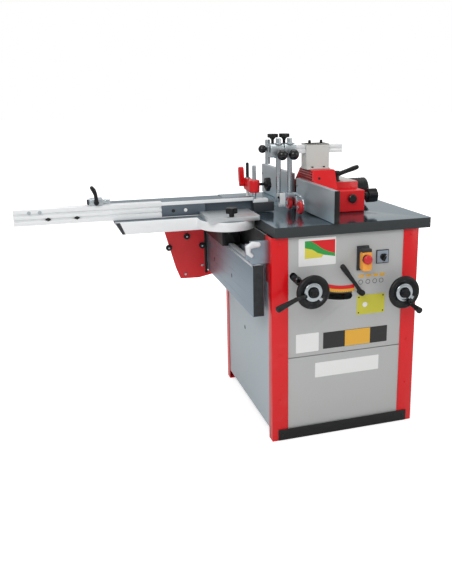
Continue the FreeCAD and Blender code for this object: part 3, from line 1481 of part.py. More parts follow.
def screws():
    """Visible screw and bolt heads that hold fixed pieces."""
    radius = S.screw_radius
    head = S.screw_head
    made = []
    plinth_z = S.plinth_lift + S.plinth_height / 2
    plinth_end = -LEFT - S.plinth_inset - S.plinth_screw_inset
    for x in (-plinth_end, as_size(0), plinth_end):
        made.append(rod("-y", (x, FRONT - S.plinth_sheet, plinth_z), radius, head))
    post_x = LEFT + S.post_face / 2
    for z in (S.seam_height / 2, S.seam_height + S.seam_screw_rise, TABLE_FOOT - S.top_screw_drop):
        for x in (post_x, -post_x):
            made.append(rod("-y", (x, FRONT, z), radius, head))
    foot_top = HOOD_TOP + S.mast_foot
    flange = S.mast_flange / 2
    left = -S.mast_left
    for x in (left + S.foot_bolt_inset, left + S.mast_width - S.foot_bolt_inset):
        for y in (-S.mast_front - flange, -S.mast_front + S.mast_deep + flange):
            made.append(rod("z", (x, y, foot_top), flange, S.foot_bolt_head))
        made.append(rod("z", (x, S.bar_y, HOOD_TOP + S.mast_high), S.mast_bolt_radius, S.mast_bolt_head))
    node("machine_screws", group(*made))


def export():
    """Recompute, check every object and node, and write one STEP file per node."""
    doc.recompute()
    failed = [made.Label for made in doc.Objects if {"Invalid", "Error"} & set(made.State)]
    if failed:
        raise RuntimeError(f"objects failed: {failed}")
    for label, piece in NODES.items():
        if piece.Shape.isNull() or not piece.Shape.isValid():
            raise RuntimeError(f"{label} has no valid shape")
    os.makedirs("parts", exist_ok=True)
    for label, piece in NODES.items():
        piece.Shape.exportStep(os.path.join("parts", f"{label}.step"))
        box = piece.Shape.BoundBox
        print(f"{label}: {len(piece.Shape.Solids)} solids, {piece.Shape.Volume / 1000:.1f} cm3, "
              f"x {box.XMin:.1f}..{box.XMax:.1f} y {box.YMin:.1f}..{box.YMax:.1f} "
              f"z {box.ZMin:.1f}..{box.ZMax:.1f}")


cabinet()
table()
cradle()
rising_unit()
panel_controls()
fence()
pressure_device()
beam()
carriage()
mitre()
clamp()
screws()
export()
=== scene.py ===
"""Looks of a spindle moulder with a sliding crosscut table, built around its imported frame.

Metres, +Z up. The operator stands at -Y and the crosscut table slides on the left.
"""
import json
import math

import bmesh
import bpy
from bpy.props import FloatProperty, FloatVectorProperty, IntProperty, PointerProperty
from mathutils import Matrix, Vector


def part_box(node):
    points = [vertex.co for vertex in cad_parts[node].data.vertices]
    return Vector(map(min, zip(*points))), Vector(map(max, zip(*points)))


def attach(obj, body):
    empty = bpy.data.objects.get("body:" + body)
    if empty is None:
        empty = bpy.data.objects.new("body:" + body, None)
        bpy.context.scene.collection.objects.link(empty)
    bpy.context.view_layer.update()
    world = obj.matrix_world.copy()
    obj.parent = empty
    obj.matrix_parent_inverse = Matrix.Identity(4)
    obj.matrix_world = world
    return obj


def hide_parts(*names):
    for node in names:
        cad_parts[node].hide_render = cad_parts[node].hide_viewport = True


bl_info = {
    "name": "Spindle moulder",
    "version": (1, 0, 0),
    "blender": (4, 5, 0),
    "location": "3D View > Sidebar > Moulder",
    "description": "Dresses the frame of a spindle moulder with its pieces and finishes",
    "category": "Object",
}

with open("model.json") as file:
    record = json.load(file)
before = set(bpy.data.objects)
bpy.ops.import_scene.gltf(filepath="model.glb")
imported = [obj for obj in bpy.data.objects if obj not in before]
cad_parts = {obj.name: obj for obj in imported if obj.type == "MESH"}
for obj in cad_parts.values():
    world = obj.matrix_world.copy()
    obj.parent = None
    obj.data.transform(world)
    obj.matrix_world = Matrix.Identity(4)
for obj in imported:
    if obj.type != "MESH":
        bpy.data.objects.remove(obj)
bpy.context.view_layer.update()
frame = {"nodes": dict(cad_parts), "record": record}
RECORD = frame["record"]
BODY_OF = {node: body for body, nodes in RECORD["behaviour"]["bodies"].items() for node in nodes}
SLOT_OF = {row["node"]: row["material_slot"] for row in RECORD["subparts"]}

X = Vector((1, 0, 0))
Y = Vector((0, 1, 0))
Z = Vector((0, 0, 1))
TINY = 1e-7
SMOOTH_ANGLE = 35
MERGE_GAP = 0.00002
FLAT_ANGLE = math.radians(1.0)
EDGE_ANGLE = math.radians(30)


def tint(red, green, blue):
    """A display colour from 0 to 255 as linear light."""
    shares = [value / 255 for value in (red, green, blue)]
    return tuple(s / 12.92 if s <= 0.04045 else ((s + 0.055) / 1.055) ** 2.4 for s in shares)


def colour_prop(label, words, shade):
    return FloatVectorProperty(name=label, description=words, subtype="COLOR", min=0, max=1, default=shade)


def length_prop(label, words, size):
    return FloatProperty(name=label, description=words, unit="LENGTH", subtype="DISTANCE", min=0,
                         default=size)


class MoulderColours(bpy.types.PropertyGroup):
    """Colours that a user would change."""

    red: colour_prop("Red paint", "Posts, hood and clamp arm", tint(222, 16, 24))
    panel: colour_prop("Grey paint", "Cabinet sheets", tint(183, 185, 184))
    iron: colour_prop("Ground iron", "Top of the machine table", tint(116, 144, 158))
    casting: colour_prop("Raw iron", "Sides of the machine table", tint(42, 48, 50))
    alloy: colour_prop("Bright alloy", "Fence plates, mitre fence and deck", tint(214, 219, 221))
    beam: colour_prop("Beam alloy", "Slide beam", tint(146, 160, 172))
    steel: colour_prop("Bright steel", "Rods, spindle and rings", tint(188, 196, 200))
    mast: colour_prop("Mast paint", "Post of the pressure device", tint(205, 204, 199))
    black: colour_prop("Black plastic", "Knobs, handwheels and grips", tint(20, 21, 23))
    rubber: colour_prop("Rubber", "Buffers and belt", tint(30, 30, 31))
    roller: colour_prop("Roller plastic", "Pressure rollers", tint(205, 30, 36))
    flap: colour_prop("Switch flap", "Flap over the switch", tint(248, 168, 62))
    stop: colour_prop("Stop button", "Mushroom head", tint(206, 28, 34))
    switch: colour_prop("Switch plate", "Plate of the cam switch", tint(146, 158, 172))
    olive: colour_prop("Olive plate", "Bare plate under the lever", tint(206, 200, 64))
    white: colour_prop("White label", "Bare labels and the shoe", tint(236, 237, 236))
    chart_green: colour_prop("Chart green", "Middle field of the speed chart", tint(44, 158, 70))
    chart_yellow: colour_prop("Chart yellow", "Lower field of the speed chart", tint(224, 212, 74))
    orange: colour_prop("Label orange", "Bare strip fields", tint(232, 176, 58))
    motor: colour_prop("Motor paint", "Drive motor", tint(64, 84, 104))
    floor: colour_prop("Floor", "Studio floor", tint(247, 247, 247))


class MoulderSizes(bpy.types.PropertyGroup):
    """Sizes that a user would change."""

    sheet_edge: length_prop("Sheet edge", "Rounding of folded sheet", 0.0012)
    cast_edge: length_prop("Casting edge", "Rounding of cast and milled pieces", 0.0016)
    hood_edge: length_prop("Hood edge", "Rounding of the fence hood", 0.005)
    label_thick: length_prop("Label thickness", "Thickness of labels and plates", 0.0006)
    screw_radius: length_prop("Screw head", "Radius of the panel screws' heads", 0.005)
    screw_high: length_prop("Screw height", "Height of the panel screws' heads", 0.003)
    port_rib_pitch: length_prop("Port rib pitch", "Distance between the dust port's ribs", 0.012)
    port_ribs: IntProperty(name="Port ribs", description="Ribs round the dust port", min=1, default=8)
    crown_ridges: IntProperty(name="Crown ridges", description="Ridges on the hood's crown", min=1,
                              default=4)
    crown_ridge_pitch: length_prop("Crown ridge pitch", "Distance between the crown's ridges", 0.0105)
    beam_lines: IntProperty(name="Beam lines", description="Fine lines along the beam", min=1, default=4)
    scale_ticks: IntProperty(name="Scale ticks", description="Marks along the tilt scale", min=2,
                             default=23)
    lens: FloatProperty(name="Lens", description="Camera lens", subtype="DISTANCE_CAMERA", min=1,
                        default=43.02)


def colours():
    return bpy.context.scene.moulder_colours


def sizes():
    return bpy.context.scene.moulder_sizes


# Shader groups that several finishes share.


def shader_group(name, inputs, outputs):
    """An empty shader group with its sockets, its input node and its output node."""
    group = bpy.data.node_groups.new(name, "ShaderNodeTree")
    for label, kind, value in inputs:
        socket = group.interface.new_socket(label, in_out="INPUT", socket_type=kind)
        if value is not None:
            socket.default_value = value
    for label, kind in outputs:
        group.interface.new_socket(label, in_out="OUTPUT", socket_type=kind)
    return group, group.nodes.new("NodeGroupInput"), group.nodes.new("NodeGroupOutput")


def noise(tree, vector, scale, detail):
    node = tree.nodes.new("ShaderNodeTexNoise")
    node.inputs["Detail"].default_value = detail
    tree.links.new(vector, node.inputs["Vector"])
    if isinstance(scale, bpy.types.NodeSocket):
        tree.links.new(scale, node.inputs["Scale"])
    else:
        node.inputs["Scale"].default_value = scale
    return node.outputs["Fac"]


def maths(tree, kind, first, second, third=None):
    node = tree.nodes.new("ShaderNodeMath")
    node.operation = kind
    for socket, value in zip(node.inputs, (first, second, third)):
        if isinstance(value, bpy.types.NodeSocket):
            tree.links.new(value, socket)
        elif value is not None:
            socket.default_value = value
    return node.outputs[0]


def scaled(tree, vector, factor):
    node = tree.nodes.new("ShaderNodeVectorMath")
    node.operation = "SCALE"
    tree.links.new(vector, node.inputs[0])
    tree.links.new(factor, node.inputs["Scale"])
    return node.outputs[0]


def mixed(tree, factor, first, second):
    node = tree.nodes.new("ShaderNodeMix")
    node.data_type = "RGBA"
    tree.links.new(factor, node.inputs[0])
    tree.links.new(first, node.inputs[6])
    tree.links.new(second, node.inputs[7])
    return node.outputs[2]


def mottle_group():
    """Slow drift of a colour over a surface."""
    group, inside, out = shader_group(
        "SurfaceMottle",
        [("Vector", "NodeSocketVector", None), ("Colour", "NodeSocketColor", (1, 1, 1, 1)),
         ("Scale", "NodeSocketFloat", 6.0), ("Depth", "NodeSocketFloat", 0.1)],
        [("Colour", "NodeSocketColor")],
    )
    drift = noise(group, inside.outputs["Vector"], inside.outputs["Scale"], 3.0)
    centred = maths(group, "SUBTRACT", drift, 0.5)
    factor = maths(group, "MULTIPLY_ADD", centred, inside.outputs["Depth"], 1.0)
    group.links.new(scaled(group, inside.outputs["Colour"], factor), out.inputs["Colour"])
    return group


def grain_group():
    """Fine moulded, sprayed or cast grain."""
    group, inside, out = shader_group(
        "FineGrain",
        [("Vector", "NodeSocketVector", None), ("Scale", "NodeSocketFloat", 400.0),
         ("Roughness", "NodeSocketFloat", 0.4), ("Spread", "NodeSocketFloat", 0.1)],
        [("Roughness", "NodeSocketFloat"), ("Height", "NodeSocketFloat")],
    )
    fine = noise(group, inside.outputs["Vector"], inside.outputs["Scale"], 2.0)
    slow = noise(group, inside.outputs["Vector"], 9.0, 3.0)
    centred = maths(group, "SUBTRACT",
                    maths(group, "MULTIPLY_ADD", fine, 0.4, maths(group, "MULTIPLY", slow, 0.6)), 0.5)
    rough = maths(group, "MULTIPLY_ADD", centred, inside.outputs["Spread"], inside.outputs["Roughness"])
    group.links.new(rough, out.inputs["Roughness"])
    group.links.new(fine, out.inputs["Height"])
    return group


def brushing_group():
    """Long fine lines left by milling, grinding or drawing."""
    group, inside, out = shader_group(
        "BrushedLines",
        [("Vector", "NodeSocketVector", None), ("Stretch", "NodeSocketVector", (400.0, 4.0, 400.0)),
         ("Roughness", "NodeSocketFloat", 0.3), ("Spread", "NodeSocketFloat", 0.15)],
        [("Roughness", "NodeSocketFloat"), ("Height", "NodeSocketFloat")],
    )
    stretch = group.nodes.new("ShaderNodeVectorMath")
    stretch.operation = "MULTIPLY"
    group.links.new(inside.outputs["Vector"], stretch.inputs[0])
    group.links.new(inside.outputs["Stretch"], stretch.inputs[1])
    lines = noise(group, stretch.outputs[0], 1.0, 2.0)
    centred = maths(group, "SUBTRACT", lines, 0.5)
    rough = maths(group, "MULTIPLY_ADD", centred, inside.outputs["Spread"], inside.outputs["Roughness"])
    group.links.new(rough, out.inputs["Roughness"])
    group.links.new(lines, out.inputs["Height"])
    return group


def scuff_group():
    """Sparse handling marks that lighten a colour."""
    group, inside, out = shader_group(
        "HandlingMarks",
        [("Vector", "NodeSocketVector", None), ("Colour", "NodeSocketColor", (1, 1, 1, 1)),
         ("Worn", "NodeSocketColor", (1, 1, 1, 1)), ("Scale", "NodeSocketFloat", 40.0),
         ("Amount", "NodeSocketFloat", 0.2)],
        [("Colour", "NodeSocketColor"), ("Mask", "NodeSocketFloat")],
    )
    patches = noise(group, inside.outputs["Vector"], inside.outputs["Scale"], 6.0)
    ramp = group.nodes.new("ShaderNodeMapRange")
    ramp.inputs["From Min"].default_value = 0.58
    ramp.inputs["From Max"].default_value = 0.78
    group.links.new(patches, ramp.inputs["Value"])
    mask = maths(group, "MULTIPLY", ramp.outputs["Result"], inside.outputs["Amount"])
    group.links.new(mixed(group, mask, inside.outputs["Colour"], inside.outputs["Worn"]),
                    out.inputs["Colour"])
    group.links.new(mask, out.inputs["Mask"])
    return group


GROUPS = {
    "SurfaceMottle": mottle_group,
    "FineGrain": grain_group,
    "BrushedLines": brushing_group,
    "HandlingMarks": scuff_group,
}


def placed_group(tree, name, **values):
    """A shared group placed in a material with its own values."""
    node = tree.nodes.new("ShaderNodeGroup")
    node.node_tree = bpy.data.node_groups.get(name) or GROUPS[name]()
    for label, value in values.items():
        if isinstance(value, bpy.types.NodeSocket):
            tree.links.new(value, node.inputs[label])
        else:
            node.inputs[label].default_value = value
    return node


def opaque(shade):
    return (*shade[:3], 1.0)


def finish(name, shade, rough, metal=0.0, coat=0.0, coat_rough=0.1, mottle=(6.0, 0.08), grain=(500.0, 0.08),
           lines=None, bump=0.08, scuffs=None, specular=0.5):
    """A procedural material: drifting colour, marks, and grain or brushed lines in its roughness and bump."""
    made = bpy.data.materials.new(name)
    made.use_nodes = True
    tree = made.node_tree
    shader = tree.nodes["Principled BSDF"]
    places = tree.nodes.new("ShaderNodeTexCoord").outputs["Object"]
    colour = placed_group(tree, "SurfaceMottle", Vector=places, Colour=opaque(shade), Scale=mottle[0],
                          Depth=mottle[1]).outputs["Colour"]
    if scuffs:
        scale, amount, worn = scuffs
        colour = placed_group(tree, "HandlingMarks", Vector=places, Colour=colour, Worn=opaque(worn),
                              Scale=scale,
                              Amount=amount).outputs["Colour"]
    if lines:
        skin = placed_group(tree, "BrushedLines", Vector=places, Stretch=lines, Roughness=rough,
                            Spread=grain[1])
    else:
        skin = placed_group(tree, "FineGrain", Vector=places, Scale=grain[0], Roughness=rough,
                            Spread=grain[1])
    relief = tree.nodes.new("ShaderNodeBump")
    relief.inputs["Strength"].default_value = bump
    relief.inputs["Distance"].default_value = 0.0004
    tree.links.new(colour, shader.inputs["Base Color"])
    tree.links.new(skin.outputs["Roughness"], shader.inputs["Roughness"])
    tree.links.new(skin.outputs["Height"], relief.inputs["Height"])
    tree.links.new(relief.outputs["Normal"], shader.inputs["Normal"])
    shader.inputs["Metallic"].default_value = metal
    shader.inputs["Coat Weight"].default_value = coat
    shader.inputs["Coat Roughness"].default_value = coat_rough
    shader.inputs["Specular IOR Level"].default_value = specular
    return made


ALONG_X = (5.0, 500.0, 500.0)
ALONG_Y = (500.0, 5.0, 500.0)
ALONG_Z = (500.0, 500.0, 5.0)
WORN = (0.55, 0.56, 0.56)

FINISHES = {
    "red_gloss": lambda name, c: finish(name, c.red, 0.3, coat=0.25, coat_rough=0.1, grain=(700.0, 0.06),
                                        specular=0.35, bump=0.03, scuffs=(14.0, 0.05, (0.9, 0.3, 0.3))),
    # Darker copy of the red paint: painted shade for the crown's shaded left wall.
    "red_shade": lambda name,
    c: finish(name, tint(122, 18, 22), 0.55, grain=(700.0, 0.1), bump=0.06, specular=0.3),
    "panel_grey": lambda name,
    c: finish(name, c.panel, 0.42, grain=(900.0, 0.08), bump=0.05, mottle=(3.0, 0.05)),
    # Bluer, lighter copy of the grey paint for the sheets that face -X: painted light and shade on that side
    # of the cabinet.
    "side_grey": lambda name,
    c: finish(name, tint(178, 190, 196), 0.42, grain=(900.0, 0.08), bump=0.05, mottle=(3.0, 0.05)),
    "ground_iron": lambda name,
    c: finish(name, c.iron, 0.13, metal=0.9, lines=ALONG_Y, grain=(0.0, 0.06), bump=0.012,
                                          mottle=(5.0, 0.15), scuffs=(9.0, 0.12, (0.16, 0.18, 0.2))),
    "raw_iron": lambda name,
    c: finish(name, c.casting, 0.6, grain=(350.0, 0.2), bump=0.3, mottle=(20.0, 0.25)),
    "bright_alloy": lambda name,
    c: finish(name, c.alloy, 0.33, metal=0.85, lines=ALONG_Y, grain=(0.0, 0.16),
                                           bump=0.05, mottle=(4.0, 0.1)),
    "plate_alloy": lambda name,
    c: finish(name, tint(164, 171, 175), 0.4, metal=0.6, lines=ALONG_Y, grain=(0.0, 0.12),
                                          bump=0.04, mottle=(4.0, 0.08)),
    # Darker copy of the rail alloy for upward faces: painted shade on the tops of the deck and the mitre
    # fence.
    "deck_alloy": lambda name,
    c: finish(name, tint(118, 130, 138), 0.55, metal=0.2, lines=ALONG_X, grain=(0.0, 0.14),
                                         bump=0.05, mottle=(6.0, 0.12), specular=0.25),
    # Dark grey of the fence tip; also the painted shadow at the deck's left end.
    "tip_grey": lambda name,
    c: finish(name, tint(58, 60, 64), 0.45, grain=(700.0, 0.12), bump=0.08, specular=0.3),
    "rail_alloy": lambda name,
    c: finish(name, tint(240, 242, 243), 0.36, metal=0.15, lines=ALONG_X, grain=(0.0, 0.16), bump=0.06,
                                         mottle=(5.0, 0.1)),
    "beam_alloy": lambda name, c: finish(name, c.beam, 0.38, metal=0.75, lines=ALONG_Y, grain=(0.0, 0.12),
                                         bump=0.05, mottle=(3.0, 0.12)),
    # Dark alloy: painted shade in the mitre fence's channel, on the deck's left end and on the extension's
    # tongue.
    "dark_alloy": lambda name,
    c: finish(name, tint(96, 107, 117), 0.42, metal=0.5, lines=ALONG_X, grain=(0.0, 0.12),
                                         bump=0.05, mottle=(8.0, 0.15)),
    "bright_steel": lambda name, c: finish(name, c.steel, 0.2, metal=0.95, lines=ALONG_Z, grain=(0.0, 0.12),
                                           bump=0.03, mottle=(12.0, 0.08)),
    "cast_alloy": lambda name, c: finish(name, c.steel, 0.36, metal=0.85, grain=(380.0, 0.16), bump=0.12,
                                         mottle=(22.0, 0.16)),
    "mast_paint": lambda name,
    c: finish(name, c.mast, 0.45, grain=(600.0, 0.1), bump=0.08, mottle=(10.0, 0.06)),
    "black_moulded": lambda name,
    c: finish(name, c.black, 0.4, grain=(1100.0, 0.12), bump=0.1, specular=0.3,
                                            mottle=(30.0, 0.2), scuffs=(60.0, 0.04, WORN)),
    "black_gloss": lambda name,
    c: finish(name, tint(18, 19, 20), 0.18, grain=(500.0, 0.05), bump=0.02, specular=0.45),
    # Black oxide of screws, nuts and collars; also the painted shade of the crown's screw hole.
    "black_oxide": lambda name,
    c: finish(name, tint(34, 35, 37), 0.4, metal=0.4, grain=(800.0, 0.14), bump=0.08),
    # Black paint; also the painted shade strip on the cabinet's left side.
    "black_paint": lambda name,
    c: finish(name, tint(28, 29, 30), 0.42, grain=(700.0, 0.12), bump=0.06, specular=0.3),
    "rough_dark": lambda name,
    c: finish(name, tint(52, 55, 56), 0.8, grain=(220.0, 0.2), bump=0.5, mottle=(45.0, 0.9),
                                         specular=0.2),
    "white_casting": lambda name,
    c: finish(name, tint(226, 228, 230), 0.4, metal=0.25, grain=(300.0, 0.14), bump=0.15,
                                            mottle=(40.0, 0.2)),
    # Lighter copy of the red paint for the outrigger wing: painted light on a part that stands in shade.
    "wing_red": lambda name, c: finish(name, tint(236, 40, 46), 0.42, grain=(700.0, 0.08), bump=0.04),
    "rubber": lambda name, c: finish(name, c.rubber, 0.72, grain=(900.0, 0.12), bump=0.2),
    "roller_red": lambda name,
    c: finish(name, c.roller, 0.4, grain=(900.0, 0.1), bump=0.08, mottle=(20.0, 0.1)),
    "flap_orange": lambda name, c: finish(name, c.flap, 0.38, grain=(1000.0, 0.08), bump=0.06),
    "stop_red": lambda name, c: finish(name, c.stop, 0.28, grain=(800.0, 0.06), bump=0.03, coat=0.2),
    "switch_grey": lambda name, c: finish(name, c.switch, 0.4, grain=(1000.0, 0.08), bump=0.05),
    "switch_black": lambda name, c: finish(name, tint(40, 41, 44), 0.42, grain=(1000.0, 0.1), bump=0.08),
    "olive_plate": lambda name, c: finish(name, c.olive, 0.34, metal=0.1, lines=ALONG_X, grain=(0.0, 0.08),
                                          bump=0.02, mottle=(14.0, 0.08)),
    # White of labels and marks; also a painted highlight on a screw of the extension's tongue.
    "label_white": lambda name,
    c: finish(name, c.white, 0.36, grain=(600.0, 0.05), bump=0.02, mottle=(12.0, 0.03)),
    # Black of print and small parts; also the painted shade in holes and in the pressure bar's hollow end.
    "label_black": lambda name, c: finish(name, tint(34, 34, 36), 0.36, grain=(600.0, 0.05), bump=0.02),
    "label_orange": lambda name, c: finish(name, c.orange, 0.36, grain=(600.0, 0.05), bump=0.02,
                                           mottle=(16.0, 0.06)),
    "chart_red": lambda name, c: finish(name, c.red, 0.36, grain=(600.0, 0.05), bump=0.02),
    "chart_green": lambda name, c: finish(name, c.chart_green, 0.36, grain=(600.0, 0.05), bump=0.02),
    "chart_yellow": lambda name, c: finish(name, c.chart_yellow, 0.36, grain=(600.0, 0.05), bump=0.02),
    "shoe_white": lambda name,
    c: finish(name, c.white, 0.42, grain=(700.0, 0.1), bump=0.06, mottle=(30.0, 0.06)),
    "motor_paint": lambda name, c: finish(name, c.motor, 0.45, grain=(500.0, 0.1), bump=0.1),
}


def finish_of(name):
    title = f"moulder_{name}"
    return bpy.data.materials.get(title) or FINISHES[name](title, colours())


# Forms, each a bmesh of its own that together() joins into one piece.


def eased(points, radius, closed=False, steps=4):
    """A run of 2-D points with its corners rounded off."""
    spots = [Vector(point) for point in points]
    count = len(spots)
    made = []
    for i, spot in enumerate(spots):
        if not closed and i in (0, count - 1):
            made.append(spot)
            continue
        before = spots[i - 1] - spot
        after = spots[(i + 1) % count] - spot
        reach = min(radius, before.length * 0.45, after.length * 0.45)
        start = spot + before.normalized() * reach
        end = spot + after.normalized() * reach
        for k in range(steps + 1):
            t = k / steps
            made.append(start * (1 - t) ** 2 + spot * (2 * t * (1 - t)) + end * t ** 2)
    return made


def peg(radius, long, edge):
    """The half outline of a plain pin."""
    return eased([(0, 0), (radius, 0), (radius, long), (0, long)], edge)


def slab(low, high, edge=0.001, steps=2):
    """A block with rounded edges."""
    form = bmesh.new()
    bmesh.ops.create_cube(form, size=1.0)
    for corner in form.verts:
        corner.co = Vector([a + (share + 0.5) * (b - a) for a, b, share in zip(low, high, corner.co)])
    if edge:
        bmesh.ops.bevel(form, geom=form.edges[:], offset=edge, segments=steps, profile=0.5, affect="EDGES",
                        clamp_overlap=True)
    bmesh.ops.recalc_face_normals(form, faces=form.faces)
    return form


def turned(profile, at, way, steps=48, ring=False):
    """A profile of (radius, height) points turned about an axis."""
    form = bmesh.new()
    at = Vector(at)
    way = Vector(way).normalized()
    side = way.orthogonal().normalized()
    over = way.cross(side)
    turns = [2 * math.pi * i / steps for i in range(steps)]
    spokes = [side * math.cos(a) + over * math.sin(a) for a in turns]
    rows = []
    for radius, height in profile:
        centre = at + way * height
        if radius < TINY:
            rows.append([form.verts.new(centre)])
        else:
            rows.append([form.verts.new(centre + spoke * radius) for spoke in spokes])
    pairs = list(zip(rows, rows[1:]))
    if ring:
        pairs.append((rows[-1], rows[0]))
    for first, second in pairs:
        for i in range(steps):
            j = (i + 1) % steps
            corners = [first[i % len(first)], first[j % len(first)], second[j % len(second)],
                       second[i % len(second)]]
            corners = list(dict.fromkeys(corners))
            if len(corners) > 2:
                form.faces.new(corners)
    bmesh.ops.recalc_face_normals(form, faces=form.faces)
    return form


def prism(outline, at, across, up, depth, edge=0.0, steps=2):
    """A flat outline given depth along across x up, with its rims rounded."""
    form = bmesh.new()
    out = across.cross(up) * depth
    at = Vector(at)
    low = [form.verts.new(at + across * u + up * v) for u, v in outline]
    high = [form.verts.new(spot.co + out) for spot in low]
    count = len(low)
    caps = [form.faces.new(low[::-1]), form.faces.new(high)]
    for i in range(count):
        j = (i + 1) % count
        form.faces.new((low[i], low[j], high[j], high[i]))
    if edge:
        rims = [rim for cap in caps for rim in cap.edges]
        bmesh.ops.bevel(form, geom=rims, offset=edge, segments=steps, profile=0.5, affect="EDGES",
                        clamp_overlap=True)
    bmesh.ops.recalc_face_normals(form, faces=form.faces)
    return form


def bar(path, radii, flat=1.0, facing=Y, steps=20, caps=4):
    """A bar of changing thickness along a path, thinner by flat towards facing, with rounded ends."""
    form = bmesh.new()
    path = [Vector(point) for point in path]
    rows = []
    for i, (spot, radius) in enumerate(zip(path, radii)):
        ahead = (path[min(i + 1, len(path) - 1)] - path[max(i - 1, 0)]).normalized()
        rows.append((spot, ahead, radius))
    ends = []
    for k in range(1, caps + 1):
        turn = math.pi / 2 * k / (caps + 0.3)
        ends.append((math.sin(turn), math.cos(turn)))
    first, last = rows[0], rows[-1]
    lead = [(first[0] - first[1] * first[2] * s * flat, first[1], first[2] * c) for s, c in reversed(ends)]
    tail = [(last[0] + last[1] * last[2] * s * flat, last[1], last[2] * c) for s, c in ends]
    loops = []
    for spot, ahead, radius in lead + rows + tail:
        side = ahead.cross(facing).normalized()
        over = side.cross(ahead).normalized()
        loops.append([
            form.verts.new(spot + side * (radius * math.cos(a)) + over * (radius * flat * math.sin(a)))
            for a in [2 * math.pi * i / steps for i in range(steps)]
        ])
    for one, two in zip(loops, loops[1:]):
        for i in range(steps):
            j = (i + 1) % steps
            form.faces.new((one[i], one[j], two[j], two[i]))
    form.faces.new(loops[0])
    form.faces.new(loops[-1])
    bmesh.ops.recalc_face_normals(form, faces=form.faces)
    return form


def lobed_outline(radius, lobes, depth, steps=90):
    """A star knob's outline."""
    points = []
    for i in range(steps):
        angle = 2 * math.pi * i / steps
        reach = radius * (1 - depth * (0.5 - 0.5 * math.cos(lobes * angle)) ** 0.8)
        points.append(Vector((reach * math.cos(angle), reach * math.sin(angle))))
    return points


def arc_band(centre, inner, outer, start, end, steps=40):
    """A ring sector's outline in X and Z, its angles in degrees from straight down towards +X."""
    turns = [math.radians(start + (end - start) * i / steps) for i in range(steps + 1)]
    far = [Vector((centre[0] + outer * math.sin(a), centre[1] - outer * math.cos(a))) for a in turns]
    near = [Vector((centre[0] + inner * math.sin(a),
                    centre[1] - inner * math.cos(a))) for a in reversed(turns)]
    return far + near


def oblong(low, high, radius=0.003):
    """A rectangle's outline with rounded corners."""
    corners = [(low[0], low[1]), (high[0], low[1]), (high[0], high[1]), (low[0], high[1])]
    return eased(corners, radius, closed=True)


def together(name, body, slot, parts, replaces=(), angle=SMOOTH_ANGLE):
    """Joins forms with their finishes into one piece that rides on a body."""
    whole = bmesh.new()
    names = []
    for form, finish_name in parts:
        if finish_name not in names:
            names.append(finish_name)
        number = names.index(finish_name)
        for face in form.faces:
            face.material_index = number
        part = bpy.data.meshes.new("part")
        form.to_mesh(part)
        form.free()
        whole.from_mesh(part)
        bpy.data.meshes.remove(part)
    for face in whole.faces:
        face.smooth = True
    mesh = bpy.data.meshes.new(name)
    whole.to_mesh(mesh)
    whole.free()
    mesh.set_sharp_from_angle(angle=math.radians(angle))
    for finish_name in names:
        mesh.materials.append(finish_of(finish_name))
    piece = bpy.data.objects.new(name, mesh)
    bpy.context.scene.collection.objects.link(piece)
    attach(piece, body)
    if replaces:
        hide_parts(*replaces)
    return piece


def stands_for(name, node, parts, **more):
    """A piece that takes a node's place, on the node's body."""
    return together(name, BODY_OF[node], SLOT_OF[node], parts, [node], **more)


def softened(node, edge, shortest=0.008, steps=2, spared=None):
    """A merged copy of a node's solid with its long edges rounded, but not those in the spared box."""
    form = bmesh.new()
    form.from_mesh(frame["nodes"][node].data)
    bmesh.ops.remove_doubles(form, verts=form.verts, dist=MERGE_GAP)
    bmesh.ops.dissolve_limit(form, angle_limit=FLAT_ANGLE, verts=form.verts, edges=form.edges)
    sharp = [
        side for side in form.edges
        if len(side.link_faces) == 2 and side.calc_face_angle(0) > EDGE_ANGLE
        and side.calc_length() > shortest
        and not (spared and all(within(vert.co, *spared) for vert in side.verts))
    ]
    bmesh.ops.bevel(form, geom=sharp, offset=edge, segments=steps, profile=0.5, affect="EDGES",
                    clamp_overlap=True)
    bmesh.ops.recalc_face_normals(form, faces=form.faces)
    return form


def within(point, low, high):
    return all(a <= b <= c for a, b, c in zip(low, point, high))


def dressed(node, edge, finish_name, extras=(), shortest=0.008, spared=None):
    """A node shown as its own solid with soft edges, with extra forms on it."""
    parts = [(softened(node, edge, shortest, spared=spared), finish_name), *extras]
    return stands_for(f"{node}_skin", node, parts)


def repaint(piece, finish_name, chosen):
    """Gives the chosen faces of a piece another finish."""
    number = len(piece.data.materials)
    piece.data.materials.append(finish_of(finish_name))
    for face in piece.data.polygons:
        if chosen(face):
            face.material_index = number


def coated(node, finish_name):
    """A node that keeps its solid and takes a finish."""
    shown = frame["nodes"][node]
    if not shown.material_slots:
        shown.data.materials.append(None)
    for place in shown.material_slots:
        place.material = finish_of(finish_name)


def middle(node):
    low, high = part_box(node)
    return (low + high) / 2


# Geometry node trees for what repeats.


def node_tree(name, inputs):
    """A geometry tree with named inputs, its input node and its output node."""
    tree = bpy.data.node_groups.new(name, "GeometryNodeTree")
    tree.interface.new_socket("Geometry", in_out="INPUT", socket_type="NodeSocketGeometry")
    for label, kind in inputs:
        tree.interface.new_socket(label, in_out="INPUT", socket_type=kind)
    tree.interface.new_socket("Geometry", in_out="OUTPUT", socket_type="NodeSocketGeometry")
    return tree, tree.nodes.new("NodeGroupInput"), tree.nodes.new("NodeGroupOutput")


def geo(tree, kind, **values):
    node = tree.nodes.new(kind)
    for label, value in values.items():
        label = label.replace("_", " ")
        if isinstance(value, bpy.types.NodeSocket):
            tree.links.new(value, node.inputs[label])
        else:
            node.inputs[label].default_value = value
    return node


